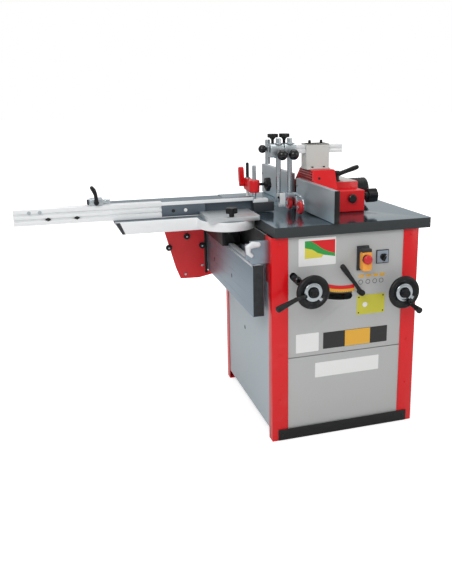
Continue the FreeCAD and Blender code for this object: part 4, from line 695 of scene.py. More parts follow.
def geo_math(tree, kind, first, second):
    node = tree.nodes.new("ShaderNodeMath")
    node.operation = kind
    for socket, value in zip(node.inputs, (first, second)):
        if isinstance(value, bpy.types.NodeSocket):
            tree.links.new(value, socket)
        else:
            socket.default_value = value
    return node.outputs[0]


def finished(tree, geometry, material, out):
    whole = geo(tree, "GeometryNodeRealizeInstances", Geometry=geometry)
    painted = geo(tree, "GeometryNodeSetMaterial", Geometry=whole.outputs[0], Material=material)
    smooth = geo(tree, "GeometryNodeSetShadeSmooth", Geometry=painted.outputs[0], Shade_Smooth=False)
    tree.links.new(smooth.outputs[0], out.inputs["Geometry"])


def screw_tree():
    """A stepped screw head on each point, facing along the point's own direction."""
    tree, inside, out = node_tree("ScrewHeads", [
        ("Radius", "NodeSocketFloat"), ("Height", "NodeSocketFloat"), ("Finish", "NodeSocketMaterial"),
    ])
    radius, height = inside.outputs["Radius"], inside.outputs["Height"]
    lower = geo(tree, "GeometryNodeMeshCylinder", Vertices=20, Radius=radius,
                Depth=geo_math(tree, "MULTIPLY", height, 0.7))
    upper = geo(tree, "GeometryNodeMeshCone", Vertices=20, Radius_Bottom=radius,
                Radius_Top=geo_math(tree, "MULTIPLY", radius, 0.72),
                Depth=geo_math(tree, "MULTIPLY", height, 0.3))
    lower_at = tree.nodes.new("ShaderNodeCombineXYZ")
    tree.links.new(geo_math(tree, "MULTIPLY", height, 0.35), lower_at.inputs["Z"])
    upper_at = tree.nodes.new("ShaderNodeCombineXYZ")
    tree.links.new(geo_math(tree, "MULTIPLY", height, 0.7), upper_at.inputs["Z"])
    lower = geo(tree, "GeometryNodeTransform", Geometry=lower.outputs["Mesh"],
                Translation=lower_at.outputs[0])
    upper = geo(tree, "GeometryNodeTransform", Geometry=upper.outputs["Mesh"],
                Translation=upper_at.outputs[0])
    head = tree.nodes.new("GeometryNodeJoinGeometry")
    tree.links.new(lower.outputs[0], head.inputs[0])
    tree.links.new(upper.outputs[0], head.inputs[0])
    facing = tree.nodes.new("GeometryNodeInputNamedAttribute")
    facing.data_type = "FLOAT_VECTOR"
    facing.inputs["Name"].default_value = "facing"
    aim = tree.nodes.new("FunctionNodeAlignRotationToVector")
    aim.axis = "Z"
    tree.links.new(facing.outputs["Attribute"], aim.inputs["Vector"])
    spots = geo(tree, "GeometryNodeInstanceOnPoints", Points=inside.outputs["Geometry"],
                Instance=head.outputs[0],
                Rotation=aim.outputs[0])
    finished(tree, spots.outputs[0], inside.outputs["Finish"], out)
    return tree


def rib_tree():
    """Round ribs a pitch apart along X round one axis."""
    tree, inside, out = node_tree("PortRibs", [
        ("Count", "NodeSocketInt"), ("Pitch", "NodeSocketFloat"), ("Start", "NodeSocketVector"),
        ("Radius", "NodeSocketFloat"), ("Thickness", "NodeSocketFloat"), ("Finish", "NodeSocketMaterial"),
    ])
    step = tree.nodes.new("ShaderNodeCombineXYZ")
    tree.links.new(inside.outputs["Pitch"], step.inputs["X"])
    line = geo(tree, "GeometryNodeMeshLine", Count=inside.outputs["Count"],
               Start_Location=inside.outputs["Start"], Offset=step.outputs[0])
    hoop = geo(tree, "GeometryNodeCurvePrimitiveCircle", Resolution=64, Radius=inside.outputs["Radius"])
    section = geo(tree, "GeometryNodeCurvePrimitiveCircle", Resolution=8,
                  Radius=inside.outputs["Thickness"])
    rib = geo(tree, "GeometryNodeCurveToMesh", Curve=hoop.outputs["Curve"],
              Profile_Curve=section.outputs["Curve"])
    upright = geo(tree, "GeometryNodeTransform", Geometry=rib.outputs["Mesh"], Rotation=(0, math.pi / 2, 0))
    spots = geo(tree, "GeometryNodeInstanceOnPoints", Points=line.outputs["Mesh"],
                Instance=upright.outputs[0])
    finished(tree, spots.outputs[0], inside.outputs["Finish"], out)
    return tree


def tick_tree():
    """Marks along an arc in the panel's plane."""
    tree, inside, out = node_tree("ScaleTicks", [
        ("Count", "NodeSocketInt"), ("Centre", "NodeSocketVector"), ("Radius", "NodeSocketFloat"),
        ("From", "NodeSocketFloat"), ("To", "NodeSocketFloat"), ("Mark", "NodeSocketVector"),
        ("Finish", "NodeSocketMaterial"),
    ])
    line = geo(tree, "GeometryNodeMeshLine", Count=inside.outputs["Count"])
    number = tree.nodes.new("GeometryNodeInputIndex").outputs[0]
    share = geo_math(tree, "DIVIDE", number, geo_math(tree, "SUBTRACT", inside.outputs["Count"], 1.0))
    span = geo_math(tree, "SUBTRACT", inside.outputs["To"], inside.outputs["From"])
    turn = geo_math(tree, "ADD", inside.outputs["From"], geo_math(tree, "MULTIPLY", share, span))
    spot = tree.nodes.new("ShaderNodeCombineXYZ")
    radius = inside.outputs["Radius"]
    tree.links.new(geo_math(tree, "MULTIPLY", geo_math(tree, "SINE", turn, 0.0), radius), spot.inputs["X"])
    drop = geo_math(tree, "MULTIPLY", geo_math(tree, "COSINE", turn, 0.0), radius)
    tree.links.new(geo_math(tree, "MULTIPLY", drop, -1.0), spot.inputs["Z"])
    place = tree.nodes.new("ShaderNodeVectorMath")
    tree.links.new(spot.outputs[0], place.inputs[0])
    tree.links.new(inside.outputs["Centre"], place.inputs[1])
    moved = geo(tree, "GeometryNodeSetPosition", Geometry=line.outputs["Mesh"], Position=place.outputs[0])
    mark = geo(tree, "GeometryNodeMeshCube", Size=inside.outputs["Mark"])
    lean = tree.nodes.new("ShaderNodeCombineXYZ")
    tree.links.new(geo_math(tree, "MULTIPLY", turn, -1.0), lean.inputs["Y"])
    spots = geo(tree, "GeometryNodeInstanceOnPoints", Points=moved.outputs[0],
                Instance=mark.outputs["Mesh"],
                Rotation=lean.outputs[0])
    finished(tree, spots.outputs[0], inside.outputs["Finish"], out)
    return tree


def row_tree():
    """Equal bars, one step apart."""
    tree, inside, out = node_tree("BarRow", [
        ("Count", "NodeSocketInt"), ("Start", "NodeSocketVector"), ("Step", "NodeSocketVector"),
        ("Size", "NodeSocketVector"), ("Finish", "NodeSocketMaterial"),
    ])
    line = geo(tree, "GeometryNodeMeshLine", Count=inside.outputs["Count"],
               Start_Location=inside.outputs["Start"], Offset=inside.outputs["Step"])
    one = geo(tree, "GeometryNodeMeshCube", Size=inside.outputs["Size"])
    spots = geo(tree, "GeometryNodeInstanceOnPoints", Points=line.outputs["Mesh"],
                Instance=one.outputs["Mesh"])
    finished(tree, spots.outputs[0], inside.outputs["Finish"], out)
    return tree


TREES = {"ScrewHeads": screw_tree, "PortRibs": rib_tree, "ScaleTicks": tick_tree, "BarRow": row_tree}


def grown(name, body, slot, tree_name, mesh=None, replaces=(), **values):
    """Runs a geometry tree and keeps its result as a plain mesh piece."""
    tree = bpy.data.node_groups.get(tree_name) or TREES[tree_name]()
    piece = bpy.data.objects.new(name, mesh or bpy.data.meshes.new(name))
    bpy.context.scene.collection.objects.link(piece)
    modifier = piece.modifiers.new("tree", "NODES")
    modifier.node_group = tree
    for socket in tree.interface.items_tree:
        if socket.item_type == "SOCKET" and socket.in_out == "INPUT" and socket.name in values:
            modifier[socket.identifier] = values[socket.name]
    graph = bpy.context.evaluated_depsgraph_get()
    plain = bpy.data.meshes.new_from_object(piece.evaluated_get(graph))
    piece.modifiers.clear()
    piece.data = plain
    plain.name = name
    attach(piece, body)
    if replaces:
        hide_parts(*replaces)
    return piece


def screws(name, body, slot, spots, radius, height, finish_name, replaces=()):
    """Screw heads at spots, each a (place, direction) pair."""
    mesh = bpy.data.meshes.new(name)
    mesh.from_pydata([tuple(place) for place, _ in spots], [], [])
    facing = mesh.attributes.new("facing", "FLOAT_VECTOR", "POINT")
    for number, (_, way) in enumerate(spots):
        facing.data[number].vector = way
    return grown(name, body, slot, "ScrewHeads", mesh, replaces, Radius=radius, Height=height,
                 Finish=finish_of(finish_name))


# Knobs, wheels and grips that several groups use.


def star_knob(at, way, radius, long, lobes, depth, finish_name, skirt=0.0, insert="bright_steel"):
    """A lobed knob on a skirt, with a metal insert in its face."""
    at = Vector(at)
    way = Vector(way).normalized()
    side = way.orthogonal().normalized()
    over = way.cross(side)
    crown = prism(lobed_outline(radius, lobes, depth), at + way * skirt, side, over, long - skirt,
                  edge=min(0.004, (long - skirt) * 0.3), steps=3)
    core = radius * (1 - depth)
    parts = [(crown, finish_name)]
    if skirt:
        parts.append((turned(eased([(0, 0), (core * 0.55, 0), (core * 0.6, skirt), (core, skirt * 1.25),
                                    (0, skirt * 1.3)], 0.002), at, way), finish_name))
    if insert:
        boss = core * 0.42
        parts.append((turned(eased([(0, 0), (boss, 0), (boss, 0.0012), (0, 0.0016)], 0.0006),
                             at + way * long, way, 32),
                      insert))
    return parts


def handwheel(name, node, x, z, marker, gear, grip):
    """A dished handwheel with its bright ring, marker tab, shaft, gear and grip stud."""
    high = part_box(node)[1]
    back = WHEEL_BACK
    centre = Vector((x, back, z))
    ahead = -Y
    rim = [Vector((RIM_ORBIT + RIM_THICK * math.cos(a), RIM_STAND + RIM_THICK * math.sin(a)))
           for a in [math.radians(205 + 305 * i / 24) for i in range(25)]]
    profile = [(0, 0), (0.022, 0), (0.026, 0.002), (0.038, 0.006), (0.0455, 0.0125),
               *[tuple(p) for p in rim],
               (0.046, 0.0225), (0.042, 0.0195), (0.036, 0.0165), (0.0205, 0.0155), (0.0185, 0.017),
               (0.0175, 0.030), (0.0167, 0.040), (0.0152, 0.0432), (0.0125, 0.044), (0.0118, 0.0425),
               (0.006, 0.042), (0.0048, 0.0435), (0, 0.0438)]
    ring = eased([(0.0192, 0.015), (0.0192, 0.0225), (0.0215, 0.0250), (0.0350, 0.0240), (0.0368, 0.0215),
                  (0.0368, 0.0158)], 0.001, closed=True, steps=2)
    parts = [
        (turned(profile, centre, ahead, 72), "black_moulded"),
        (turned(ring, centre, ahead, 72, ring=True), "bright_steel"),
        (turned(peg(SHAFT_THICK, high.y - back, 0.001),
                centre, Y, 32), "bright_steel"),
        (turned(eased([(0.0092, 0), (0.0125, 0), (0.0125, 0.012), (0.0092, 0.012)], 0.001, closed=True,
                      steps=2),
                centre, Y, 40, ring=True), "black_oxide"),
    ]
    tab_at = centre + ahead * 0.0185 + X * marker[0] + Z * marker[1]
    lean = Matrix.Rotation(math.atan2(marker[0], marker[1]), 3, "Y")
    tab = prism(oblong((-0.006, -0.008), (0.006, 0.008), 0.0015), tab_at, lean @ X, lean @ Z, 0.005, 0.0008)
    parts.append((tab, "bright_steel"))
    gear_radius, gear_from, gear_wide, teeth = gear
    parts.append((prism(gear_outline(gear_radius, teeth), Vector((x, gear_from + gear_wide, z)), X, Z,
                        gear_wide,
                        0.0006, 1), "bright_steel"))
    start, way, _ = grip
    stud = eased([(0, -0.004), (0.0085, -0.004), (0.0085, 0.010), (0.0065, 0.013), (0.0065, 0.0158),
                  (0, 0.0158)], 0.001)
    parts.append((turned(stud, start, way, 32), "black_oxide"))
    spoke = (start - centre).normalized()
    parts.append((bar([centre + spoke * 0.038 + ahead * 0.020, start], [0.0075, 0.0085], flat=0.7),
                  "black_moulded"))
    return stands_for(name, node, parts)


def round_rod(foot, top):
    """A rod of the pressure device with eased ends, upright from its foot."""
    tall = top - foot[2]
    ends = [(0, 0), (ROD_RADIUS - 0.001, 0), (ROD_RADIUS, 0.001), (ROD_RADIUS, tall - 0.001),
            (ROD_RADIUS - 0.001, tall), (0, tall)]
    return turned(eased(ends, 0.0002), foot, Z, 36)


def gear_outline(radius, teeth):
    """A spur gear's outline inside a radius."""
    points = []
    root = radius - GEAR_TOOTH
    for i in range(teeth):
        for share, reach in ((0.0, root), (0.22, root), (0.34, radius), (0.58, radius), (0.70, root)):
            angle = 2 * math.pi * (i + share) / teeth
            points.append(Vector((reach * math.cos(angle), reach * math.sin(angle))))
    return points


def crank_grip(name, node, grip):
    """The turning grip on a handwheel."""
    start, way, long = grip
    foot = start + way * GRIP_FOOT
    profile = eased([(0, 0), (0.0080, 0), (0.0090, 0.003), (0.0084, 0.010), (0.0092, long * 0.35),
                     (0.0120, long * 0.78), (0.0128, long * 0.92), (0.0105, long), (0, long)], 0.004)
    return stands_for(name, node, [(turned(profile, foot, way, 40), "black_moulded")])


def grip_frame(x, z, angle, lean, side, long):
    """Where a grip starts on its wheel, the way that it points and its length."""
    out, turn = math.radians(lean), math.radians(angle)
    start = Vector((x + GRIP_ORBIT * math.sin(turn) * side, WHEEL_BACK - GRIP_STAND,
                    z - GRIP_ORBIT * math.cos(turn)))
    way = Vector((math.sin(out) * math.sin(turn) * side, -math.cos(out), -math.sin(out) * math.cos(turn)))
    return start, way, long


def disc_outline(x, z, radius, steps=32):
    """A round field's outline."""
    turns = [2 * math.pi * i / steps for i in range(steps)]
    return [Vector((x + radius * math.cos(a), z + radius * math.sin(a))) for a in turns]


def label(name, parts):
    """A thin plate on the cabinet's front, made of (outline, finish, layer) fields in X and Z."""
    thick = sizes().label_thick
    forms = []
    for outline, finish_name, layer in parts:
        at = Vector((0, PANEL_FACE - layer * thick, 0))
        forms.append((prism(outline, at, X, Z, thick, thick * 0.3, 1), finish_name))
    return together(name, "root", "grey_paint", forms)


# Places taken from the frame, and sizes of the wheels.
PANEL_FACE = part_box("control_panel")[0].y
TABLE_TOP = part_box("table_top")[1].z
WHEEL_BACK = -0.402
RIM_ORBIT = 0.056
RIM_THICK = 0.010
RIM_STAND = 0.018
SHAFT_THICK = 0.009
GEAR_TOOTH = 0.0022
GRIP_ORBIT = 0.054
GRIP_STAND = 0.022
GRIP_FOOT = 0.0163
HOOD_STEP = 0.985
DECK_FRONT = -0.050
HOOD_LEFT = -0.032
HOOD_SKIN = 0.0055
ROD_RADIUS = 0.0105
ROD_Y = -0.026
SHOE_ROD_X = -0.170
ROLLER_ROD_X = -0.121
TIP_LIP = 0.064
LEVER_FOOT = Vector((0.086, -0.040, HOOD_STEP))
HEIGHT_WHEEL = (-0.16863, 0.62917)
TILT_WHEEL = (0.214, 0.591)


class MOULDER_OT_stage(bpy.types.Operator):
    """Camera, floor, lights and backdrop"""

    bl_idname = "moulder.stage"
    bl_label = "Stage"

    def execute(self, context):
        scene = context.scene
        scene.view_settings.view_transform = "Standard"
        self.camera(scene)
        self.floor(scene)
        self.lights(scene)
        self.backdrop(scene)
        return {"FINISHED"}

    def camera(self, scene):
        lens = bpy.data.cameras.new("Camera")
        lens.sensor_fit = "VERTICAL"
        lens.sensor_height = 36
        lens.sensor_width = 36
        lens.lens = sizes().lens
        lens.shift_x = -0.0785
        lens.shift_y = -0.0444
        lens.clip_end = 100
        eye = bpy.data.objects.new("Camera", lens)
        scene.collection.objects.link(eye)
        yaw, pitch, roll = math.radians(18.12), math.radians(14.26), math.radians(0.36)
        ahead = Vector((math.sin(yaw) * math.cos(pitch), math.cos(yaw) * math.cos(pitch), -math.sin(pitch)))
        eye.location = (-1.08098, -2.70695, 1.37133)
        eye.rotation_mode = "QUATERNION"
        eye.rotation_quaternion = Matrix.Rotation(roll, 3,
                                                  ahead).to_quaternion() @ ahead.to_track_quat("-Z", "Y")
        scene.camera = eye

    def floor(self, scene):
        mesh = bpy.data.meshes.new("studio_floor")
        half = 30
        mesh.from_pydata([(-half, -half, 0), (half, -half, 0), (half, half, 0), (-half, half, 0)], [],
                         [(0, 1, 2, 3)])
        plane = bpy.data.objects.new("studio_floor", mesh)
        scene.collection.objects.link(plane)
        made = bpy.data.materials.new("studio_floor")
        made.use_nodes = True
        tree = made.node_tree
        shader = tree.nodes["Principled BSDF"]
        shader.inputs["Roughness"].default_value = 0.9
        shader.inputs["Specular IOR Level"].default_value = 0.0
        shader.inputs["Base Color"].default_value = opaque(colours().floor)
        shader.inputs["Emission Color"].default_value = (1, 1, 1, 1)
        away = tree.nodes.new("ShaderNodeVectorMath")
        away.operation = "LENGTH"
        tree.links.new(tree.nodes.new("ShaderNodeTexCoord").outputs["Object"], away.inputs[0])
        fade = tree.nodes.new("ShaderNodeMapRange")
        fade.inputs["From Min"].default_value = 0.6
        fade.inputs["From Max"].default_value = 2.2
        fade.inputs["To Min"].default_value = 0.55
        tree.links.new(away.outputs["Value"], fade.inputs["Value"])
        ray = tree.nodes.new("ShaderNodeLightPath")
        glow = maths(tree, "MULTIPLY", ray.outputs["Is Camera Ray"], fade.outputs["Result"])
        tree.links.new(glow, shader.inputs["Emission Strength"])
        mesh.materials.append(made)

    def lights(self, scene):
        for name, place, aim, wide, power in (
            ("key_light", (-2.6, -3.4, 3.6), (0, 0, 0.6), 2.4, 95),
            ("fill_light", (3.4, -2.8, 2.2), (0, 0, 0.7), 2.6, 30),
            ("top_light", (0.2, 0.6, 4.2), (0, 0.1, 0), 2.8, 45),
            ("rear_light", (-2.2, 3.6, 3.0), (0, 0, 0.8), 2.4, 40),
        ):
            lamp = bpy.data.lights.new(name, "AREA")
            lamp.energy = power
            lamp.size = wide
            held = bpy.data.objects.new(name, lamp)
            held.location = place
            held.rotation_mode = "QUATERNION"
            held.rotation_quaternion = (Vector(aim) - Vector(place)).to_track_quat("-Z", "Y")
            scene.collection.objects.link(held)

    def backdrop(self, scene):
        world = bpy.data.worlds.new("studio")
        scene.world = world
        world.use_nodes = True
        tree = world.node_tree
        shader = tree.nodes["Background"]
        ray = tree.nodes.new("ShaderNodeLightPath")
        seen = maths(tree, "MAXIMUM", ray.outputs["Is Camera Ray"], ray.outputs["Is Transmission Ray"])
        seen = maths(tree, "MAXIMUM", seen, maths(tree, "MULTIPLY", ray.outputs["Is Glossy Ray"], 0.6))
        strength = maths(tree, "MAXIMUM", seen, 0.4)
        shader.inputs["Color"].default_value = (1, 1, 1, 1)
        tree.links.new(strength, shader.inputs["Strength"])


class MOULDER_OT_cabinet(bpy.types.Operator):
    """Corner posts, sheets and plinth"""

    bl_idname = "moulder.cabinet"
    bl_label = "Cabinet"

    def execute(self, context):
        edge = sizes().sheet_edge
        dressed("corner_posts", edge, "red_gloss")
        dressed("front_plinth", edge, "black_paint")
        dressed("lower_front_panel", edge * 0.6, "panel_grey")
        dressed("control_panel", edge * 0.6, "panel_grey")
        sheets = dressed("outer_panels", edge * 0.6, "panel_grey")
        # Sheets facing -X take the bluer, lighter grey: painted light and shade on the cabinet's left side.
        repaint(sheets, "side_grey", lambda face: face.normal.x < -0.9)
        low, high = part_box("front_plinth")
        spots = [(Vector((x, low.y, (low.z + high.z) / 2)), -Y) for x in (low.x + 0.015, 0, high.x - 0.015)]
        screws("plinth_screws", "root", "black_paint", spots, sizes().screw_radius * 0.8,
               sizes().screw_high, "black_oxide")
        spots = []
        post_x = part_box("corner_posts")[1].x - 0.033
        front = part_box("corner_posts")[0].y
        for z in (0.1725, 0.365, 0.805):
            spots += [(Vector((x, front, z)), -Y) for x in (-post_x, post_x)]
        screws("post_screws", "root", SLOT_OF["corner_posts"], spots, sizes().screw_radius,
               sizes().screw_high, "red_gloss")
        mast_low, mast_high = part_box("pressure_mast")
        bolts = [(Vector((x, 0.009, mast_high.z)), Z) for x in (mast_low.x + 0.025, mast_high.x - 0.025)]
        screws("mast_bolts", "root", "black_paint", bolts, 0.006, 0.014, "black_oxide", ["machine_screws"])
        feet = [(Vector((x, y, mast_low.z + 0.008)), Z) for x in (mast_low.x + 0.025, mast_high.x - 0.025)
                for y in (mast_low.y + 0.0045, mast_high.y - 0.0045)]
        screws("mast_foot_bolts", "root", "black_paint", feet, 0.0045, 0.005, "black_oxide")
        return {"FINISHED"}


class MOULDER_OT_table(bpy.types.Operator):
    """Cast table, its ring and the brackets under it"""

    bl_idname = "moulder.table"
    bl_label = "Table"

    def execute(self, context):
        piece = dressed("table_top", sizes().cast_edge, "raw_iron")
        repaint(piece, "ground_iron",
                lambda face: face.normal.z > 0.99 and face.center.z > TABLE_TOP - 0.0005)
        low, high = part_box("table_ring")
        centre = Vector(((low.x + high.x) / 2, (low.y + high.y) / 2, low.z))
        outer, thick, bore = (high.x - low.x) / 2, high.z - low.z, 0.046
        profile = eased([(bore, 0), (outer, 0), (outer, thick), (0.075, thick), (0.074, thick - 0.0008),
                         (0.0725, thick - 0.0008), (0.0715, thick), (bore, thick)], 0.0005, closed=True,
                         steps=2)
        stands_for("table_ring_turned", "table_ring",
                   [(turned(profile, centre, Z, 96, ring=True), "ground_iron")])
        dressed("trunnion_brackets", sizes().cast_edge, "raw_iron")
        return {"FINISHED"}


class MOULDER_OT_drive(bpy.types.Operator):
    """Tilting cradle, spindle unit, motor and belt"""

    bl_idname = "moulder.drive"
    bl_label = "Drive"

    def execute(self, context):
        dressed("tilt_cradle", sizes().cast_edge, "raw_iron")
        dressed("spindle_housing", sizes().cast_edge, "cast_alloy")
        coated("drive_belt", "rubber")
        coated("spindle_pulley", "cast_alloy")
        coated("motor_pulley", "cast_alloy")
        self.motor()
        self.spindle()
        return {"FINISHED"}

    def motor(self):
        low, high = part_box("drive_motor")
        centre = middle("drive_motor")
        radius, tall = (high.x - low.x) / 2, high.z - low.z
        foot = Vector((centre.x, centre.y, low.z))
        bore = 0.01205
        shell = eased([(bore, 0), (radius, 0), (radius, 0.014), (radius - 0.008, 0.017),
                       (radius - 0.008, tall - 0.045),
                       (radius - 0.003, tall - 0.042), (radius - 0.003, tall - 0.008),
                       (radius - 0.012, tall), (0, tall),
                       (0, 0.040), (bore, 0.040)], 0.002, closed=True, steps=2)
        parts = [(turned(shell, foot, Z, 64), "motor_paint")]
        fins = 28
        for i in range(fins):
            turn = Matrix.Rotation(2 * math.pi * i / fins, 3, "Z")
            at = foot + Z * 0.018 + turn @ Vector((radius - 0.010, 0.001, 0))
            parts.append((prism(oblong((0, 0), (0.009, tall - 0.066), 0.001), at, turn @ X, Z, 0.002),
                          "motor_paint"))
        stands_for("motor_finned", "drive_motor", parts)

    def spindle(self):
        coated("spindle_shaft", "bright_steel")
        low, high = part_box("spindle_spacers")
        centre = Vector((0, (low.y + high.y) / 2, low.z))
        outer, bore, count = (high.x - low.x) / 2, 0.015, 4
        nut_tall = 0.016
        each = (high.z - low.z - nut_tall) / count
        parts = []
        for i in range(count):
            ring = eased([(bore, 0), (outer, 0), (outer, each), (bore, each)], 0.0008, closed=True, steps=2)
            parts.append((turned(ring, centre + Z * each * i, Z, 56, ring=True), "bright_steel"))
        nut = prism([Vector((0.022 * math.cos(math.pi * i / 3),
                             0.022 * math.sin(math.pi * i / 3))) for i in range(6)],
                    centre + Z * each * count, X, Y, nut_tall, 0.001)
        parts.append((nut, "black_oxide"))
        stands_for("spindle_rings", "spindle_spacers", parts)


class MOULDER_OT_handwheels(bpy.types.Operator):
    """Both handwheels, their grips and the height lock knob"""

    bl_idname = "moulder.handwheels"
    bl_label = "Handwheels"

    def execute(self, context):
        height_grip = grip_frame(*HEIGHT_WHEEL, 75, 72, -1, 0.096)
        tilt_grip = grip_frame(*TILT_WHEEL, 30, 12, 1, 0.052)
        pinion_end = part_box("height_wheel")[1].y
        gear_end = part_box("tilt_wheel")[1].y
        handwheel("height_handwheel", "height_wheel", *HEIGHT_WHEEL, (0.030, -0.029),
                  (0.018, pinion_end - 0.016, 0.016, 18),
                  height_grip)
        handwheel("tilt_handwheel", "tilt_wheel", *TILT_WHEEL, (0.034, -0.022),
                  (0.080, gear_end - 0.012, 0.012, 72),
                  tilt_grip)
        crank_grip("height_crank_grip", "height_grip", height_grip)
        crank_grip("tilt_crank_grip", "tilt_grip", tilt_grip)
        low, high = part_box("height_lock_knob")
        x, z = -0.294 * math.sin(math.radians(46.5)), TABLE_TOP - 0.294 * math.cos(math.radians(46.5))
        back = low.y + 0.024
        ball = eased([(0, 0), (0.0055, 0), (0.0060, 0.004), (0.0125, 0.0075), (0.015, 0.0135),
                      (0.0132, 0.0195),
                      (0.0075, 0.0236), (0, 0.024)], 0.002)
        parts = [(turned(ball, (x, back, z), -Y, 40), "black_gloss")]
        stem = peg(0.005, high.y - back, 0.0008)
        parts.append((turned(stem, (x, back, z), Y, 24), "bright_steel"))
        stands_for("height_lock_star", "height_lock_knob", parts)
        return {"FINISHED"}


class MOULDER_OT_tilt_lock(bpy.types.Operator):
    """Tilt lock lever and the tilt scale on the panel"""

    bl_idname = "moulder.tilt_lock"
    bl_label = "Tilt lock"

    def execute(self, context):
        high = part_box("tilt_lock_lever")[1]
        x, z, back = 0.055, 0.591, PANEL_FACE - 0.0003
        lean = math.radians(36.5)
        way = Vector((-math.sin(lean), 0, math.cos(lean)))
        hub = eased([(0, 0), (0.0105, 0), (0.0105, 0.010), (0.012, 0.013), (0.012, 0.031), (0.010, 0.034),
                     (0.006, 0.034),
                     (0.005, 0.0325), (0, 0.0325)], 0.0015)
        start = Vector((x, back - 0.024, z))
        path = [start + way * d for d in (0.0, 0.02, 0.05, 0.09, 0.115, 0.132, 0.142)]
        arm = bar(path, [0.0085, 0.0075, 0.0075, 0.009, 0.0108, 0.0112, 0.0102], flat=0.72)
        stem = peg(0.006, high.y - back, 0.0008)
        stands_for("tilt_lock_handle", "tilt_lock_lever", [
            (turned(hub, (x, back, z), -Y, 40), "black_moulded"),
            (arm, "black_moulded"),
            (turned(stem, (x, back, z), Y, 24), "bright_steel"),
        ])
        axis = (0, TABLE_TOP)
        label("tilt_scale", [
            (arc_band(axis, 0.2500, 0.2650, -30, 7.5), "chart_red", 0),
            (arc_band(axis, 0.2650, 0.2775, -30, 7.5), "label_orange", 0),
            (arc_band(axis, 0.2775, 0.2828, -30, 5.0), "label_black", 0),
        ])
        tick = (0.0009, 0.0004, 0.005)
        grown("tilt_scale_ticks", "root", "grey_paint", "ScaleTicks", Count=sizes().scale_ticks,
              Centre=(0, PANEL_FACE - sizes().label_thick - 0.0002, TABLE_TOP), Radius=0.2745,
              From=math.radians(-29), To=math.radians(6.5), Mark=tick, Finish=finish_of("label_black"))
        return {"FINISHED"}


class MOULDER_OT_switches(bpy.types.Operator):
    """Main switch with its flap and stop button, and the cam switch"""

    bl_idname = "moulder.switches"
    bl_label = "Switches"

    def execute(self, context):
        self.base()
        self.flap()
        self.button()
        self.cam()
        return {"FINISHED"}

    def base(self):
        low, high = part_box("switch_bases")
        right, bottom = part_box("switch_flap")[1].x + 0.006, low.z
        flange = 0.003
        body = slab((low.x + flange, low.y, bottom + flange), (right - flange, PANEL_FACE, high.z - flange),
                    0.004, 3)
        foot = slab((low.x, PANEL_FACE - 0.008, bottom), (right, PANEL_FACE, high.z), 0.003, 3)
        plate = slab((0.124, PANEL_FACE - 0.004, 0.697), (0.179, PANEL_FACE, 0.752), 0.002, 2)
        face = slab((0.1275, PANEL_FACE - 0.006, 0.7005), (0.1755, PANEL_FACE - 0.002, 0.7485), 0.0015, 2)
        parts = [(body, "switch_black"), (foot, "switch_black"), (plate, "switch_black"),
                 (face, "switch_grey")]
        stands_for("switch_housings", "switch_bases", parts)

    def flap(self):
        low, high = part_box("switch_flap")
        hinge = high.z - 0.014
        outline = oblong((low.x, low.z), (high.x, hinge + 0.002), 0.008)
        back = Vector((0, high.y, 0))
        shell = prism(outline, back, X, Z, high.y - low.y - 0.002, 0.0035, 3)
        button = middle("stop_button")
        collar = eased([(0.0101, 0), (0.0178, 0), (0.0170, 0.0022), (0.0101, 0.0022)], 0.0006, closed=True,
                       steps=2)
        parts = [
            (shell, "flap_orange"),
            (slab((low.x, low.y + 0.004, hinge), high, 0.003, 3), "switch_black"),
            (turned(collar, (button.x, low.y + 0.0022, button.z), -Y, 48, ring=True), "label_black"),
            (slab((low.x + 0.010, low.y + 0.0004, low.z + 0.007),
                  (high.x - 0.010, low.y + 0.004, low.z + 0.011), 0.0012),
             "flap_orange"),
        ]
        stands_for("switch_flap_shell", "switch_flap", parts)

    def button(self):
        low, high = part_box("stop_button")
        centre = middle("stop_button")
        radius, long, stem = (high.x - low.x) / 2, 0.016, 0.010
        back = low.y + long
        dome = eased([(0, 0), (radius * 0.84, 0), (radius * 0.99, 0.003), (radius, 0.0068),
                      (radius * 0.88, 0.0115),
                      (radius * 0.64, 0.0140), (radius * 0.58, 0.0149), (radius * 0.23, long), (0, long)],
                      0.0015)
        post = peg(stem, high.y - back, 0.0006)
        stands_for("stop_mushroom", "stop_button", [
            (turned(dome, (centre.x, back, centre.z), -Y, 56), "stop_red"),
            (turned(post, (centre.x, back, centre.z), Y, 32), "label_black"),
        ])

    def cam(self):
        low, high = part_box("cam_switch_knob")
        centre = middle("cam_switch_knob")
        back = PANEL_FACE - 0.0063
        radius = (high.x - low.x) * 0.4
        disc = eased([(0, 0), (radius, 0), (radius * 0.96, 0.006), (radius * 0.86, 0.0095), (0, 0.0095)],
                     0.0015)
        lean = Matrix.Rotation(math.radians(24), 3, "Y")
        fin = eased([(-0.0045, -0.0148), (0.0045, -0.0148), (0.0050, 0.004), (0.0022, 0.0152),
                     (-0.0022, 0.0152),
                     (-0.0050, 0.004)], 0.002, closed=True)
        wing = prism(fin, Vector((centre.x, back - 0.006, centre.z)), lean @ X, lean @ Z, 0.0138, 0.0015, 3)
        mark = prism(oblong((-0.0007, 0.006), (0.0007, 0.0135), 0.0004),
                     Vector((centre.x, low.y + 0.0003, centre.z)),
                     lean @ X, lean @ Z, 0.0003)
        stem = peg(0.004, 0.006, 0.0005)
        stands_for("cam_switch_grip", "cam_switch_knob", [
            (turned(disc, (centre.x, back, centre.z), -Y, 48), "black_moulded"),
            (wing, "black_moulded"),
            (mark, "label_white"),
            (turned(stem, (centre.x, back, centre.z), Y, 24), "bright_steel"),
        ])


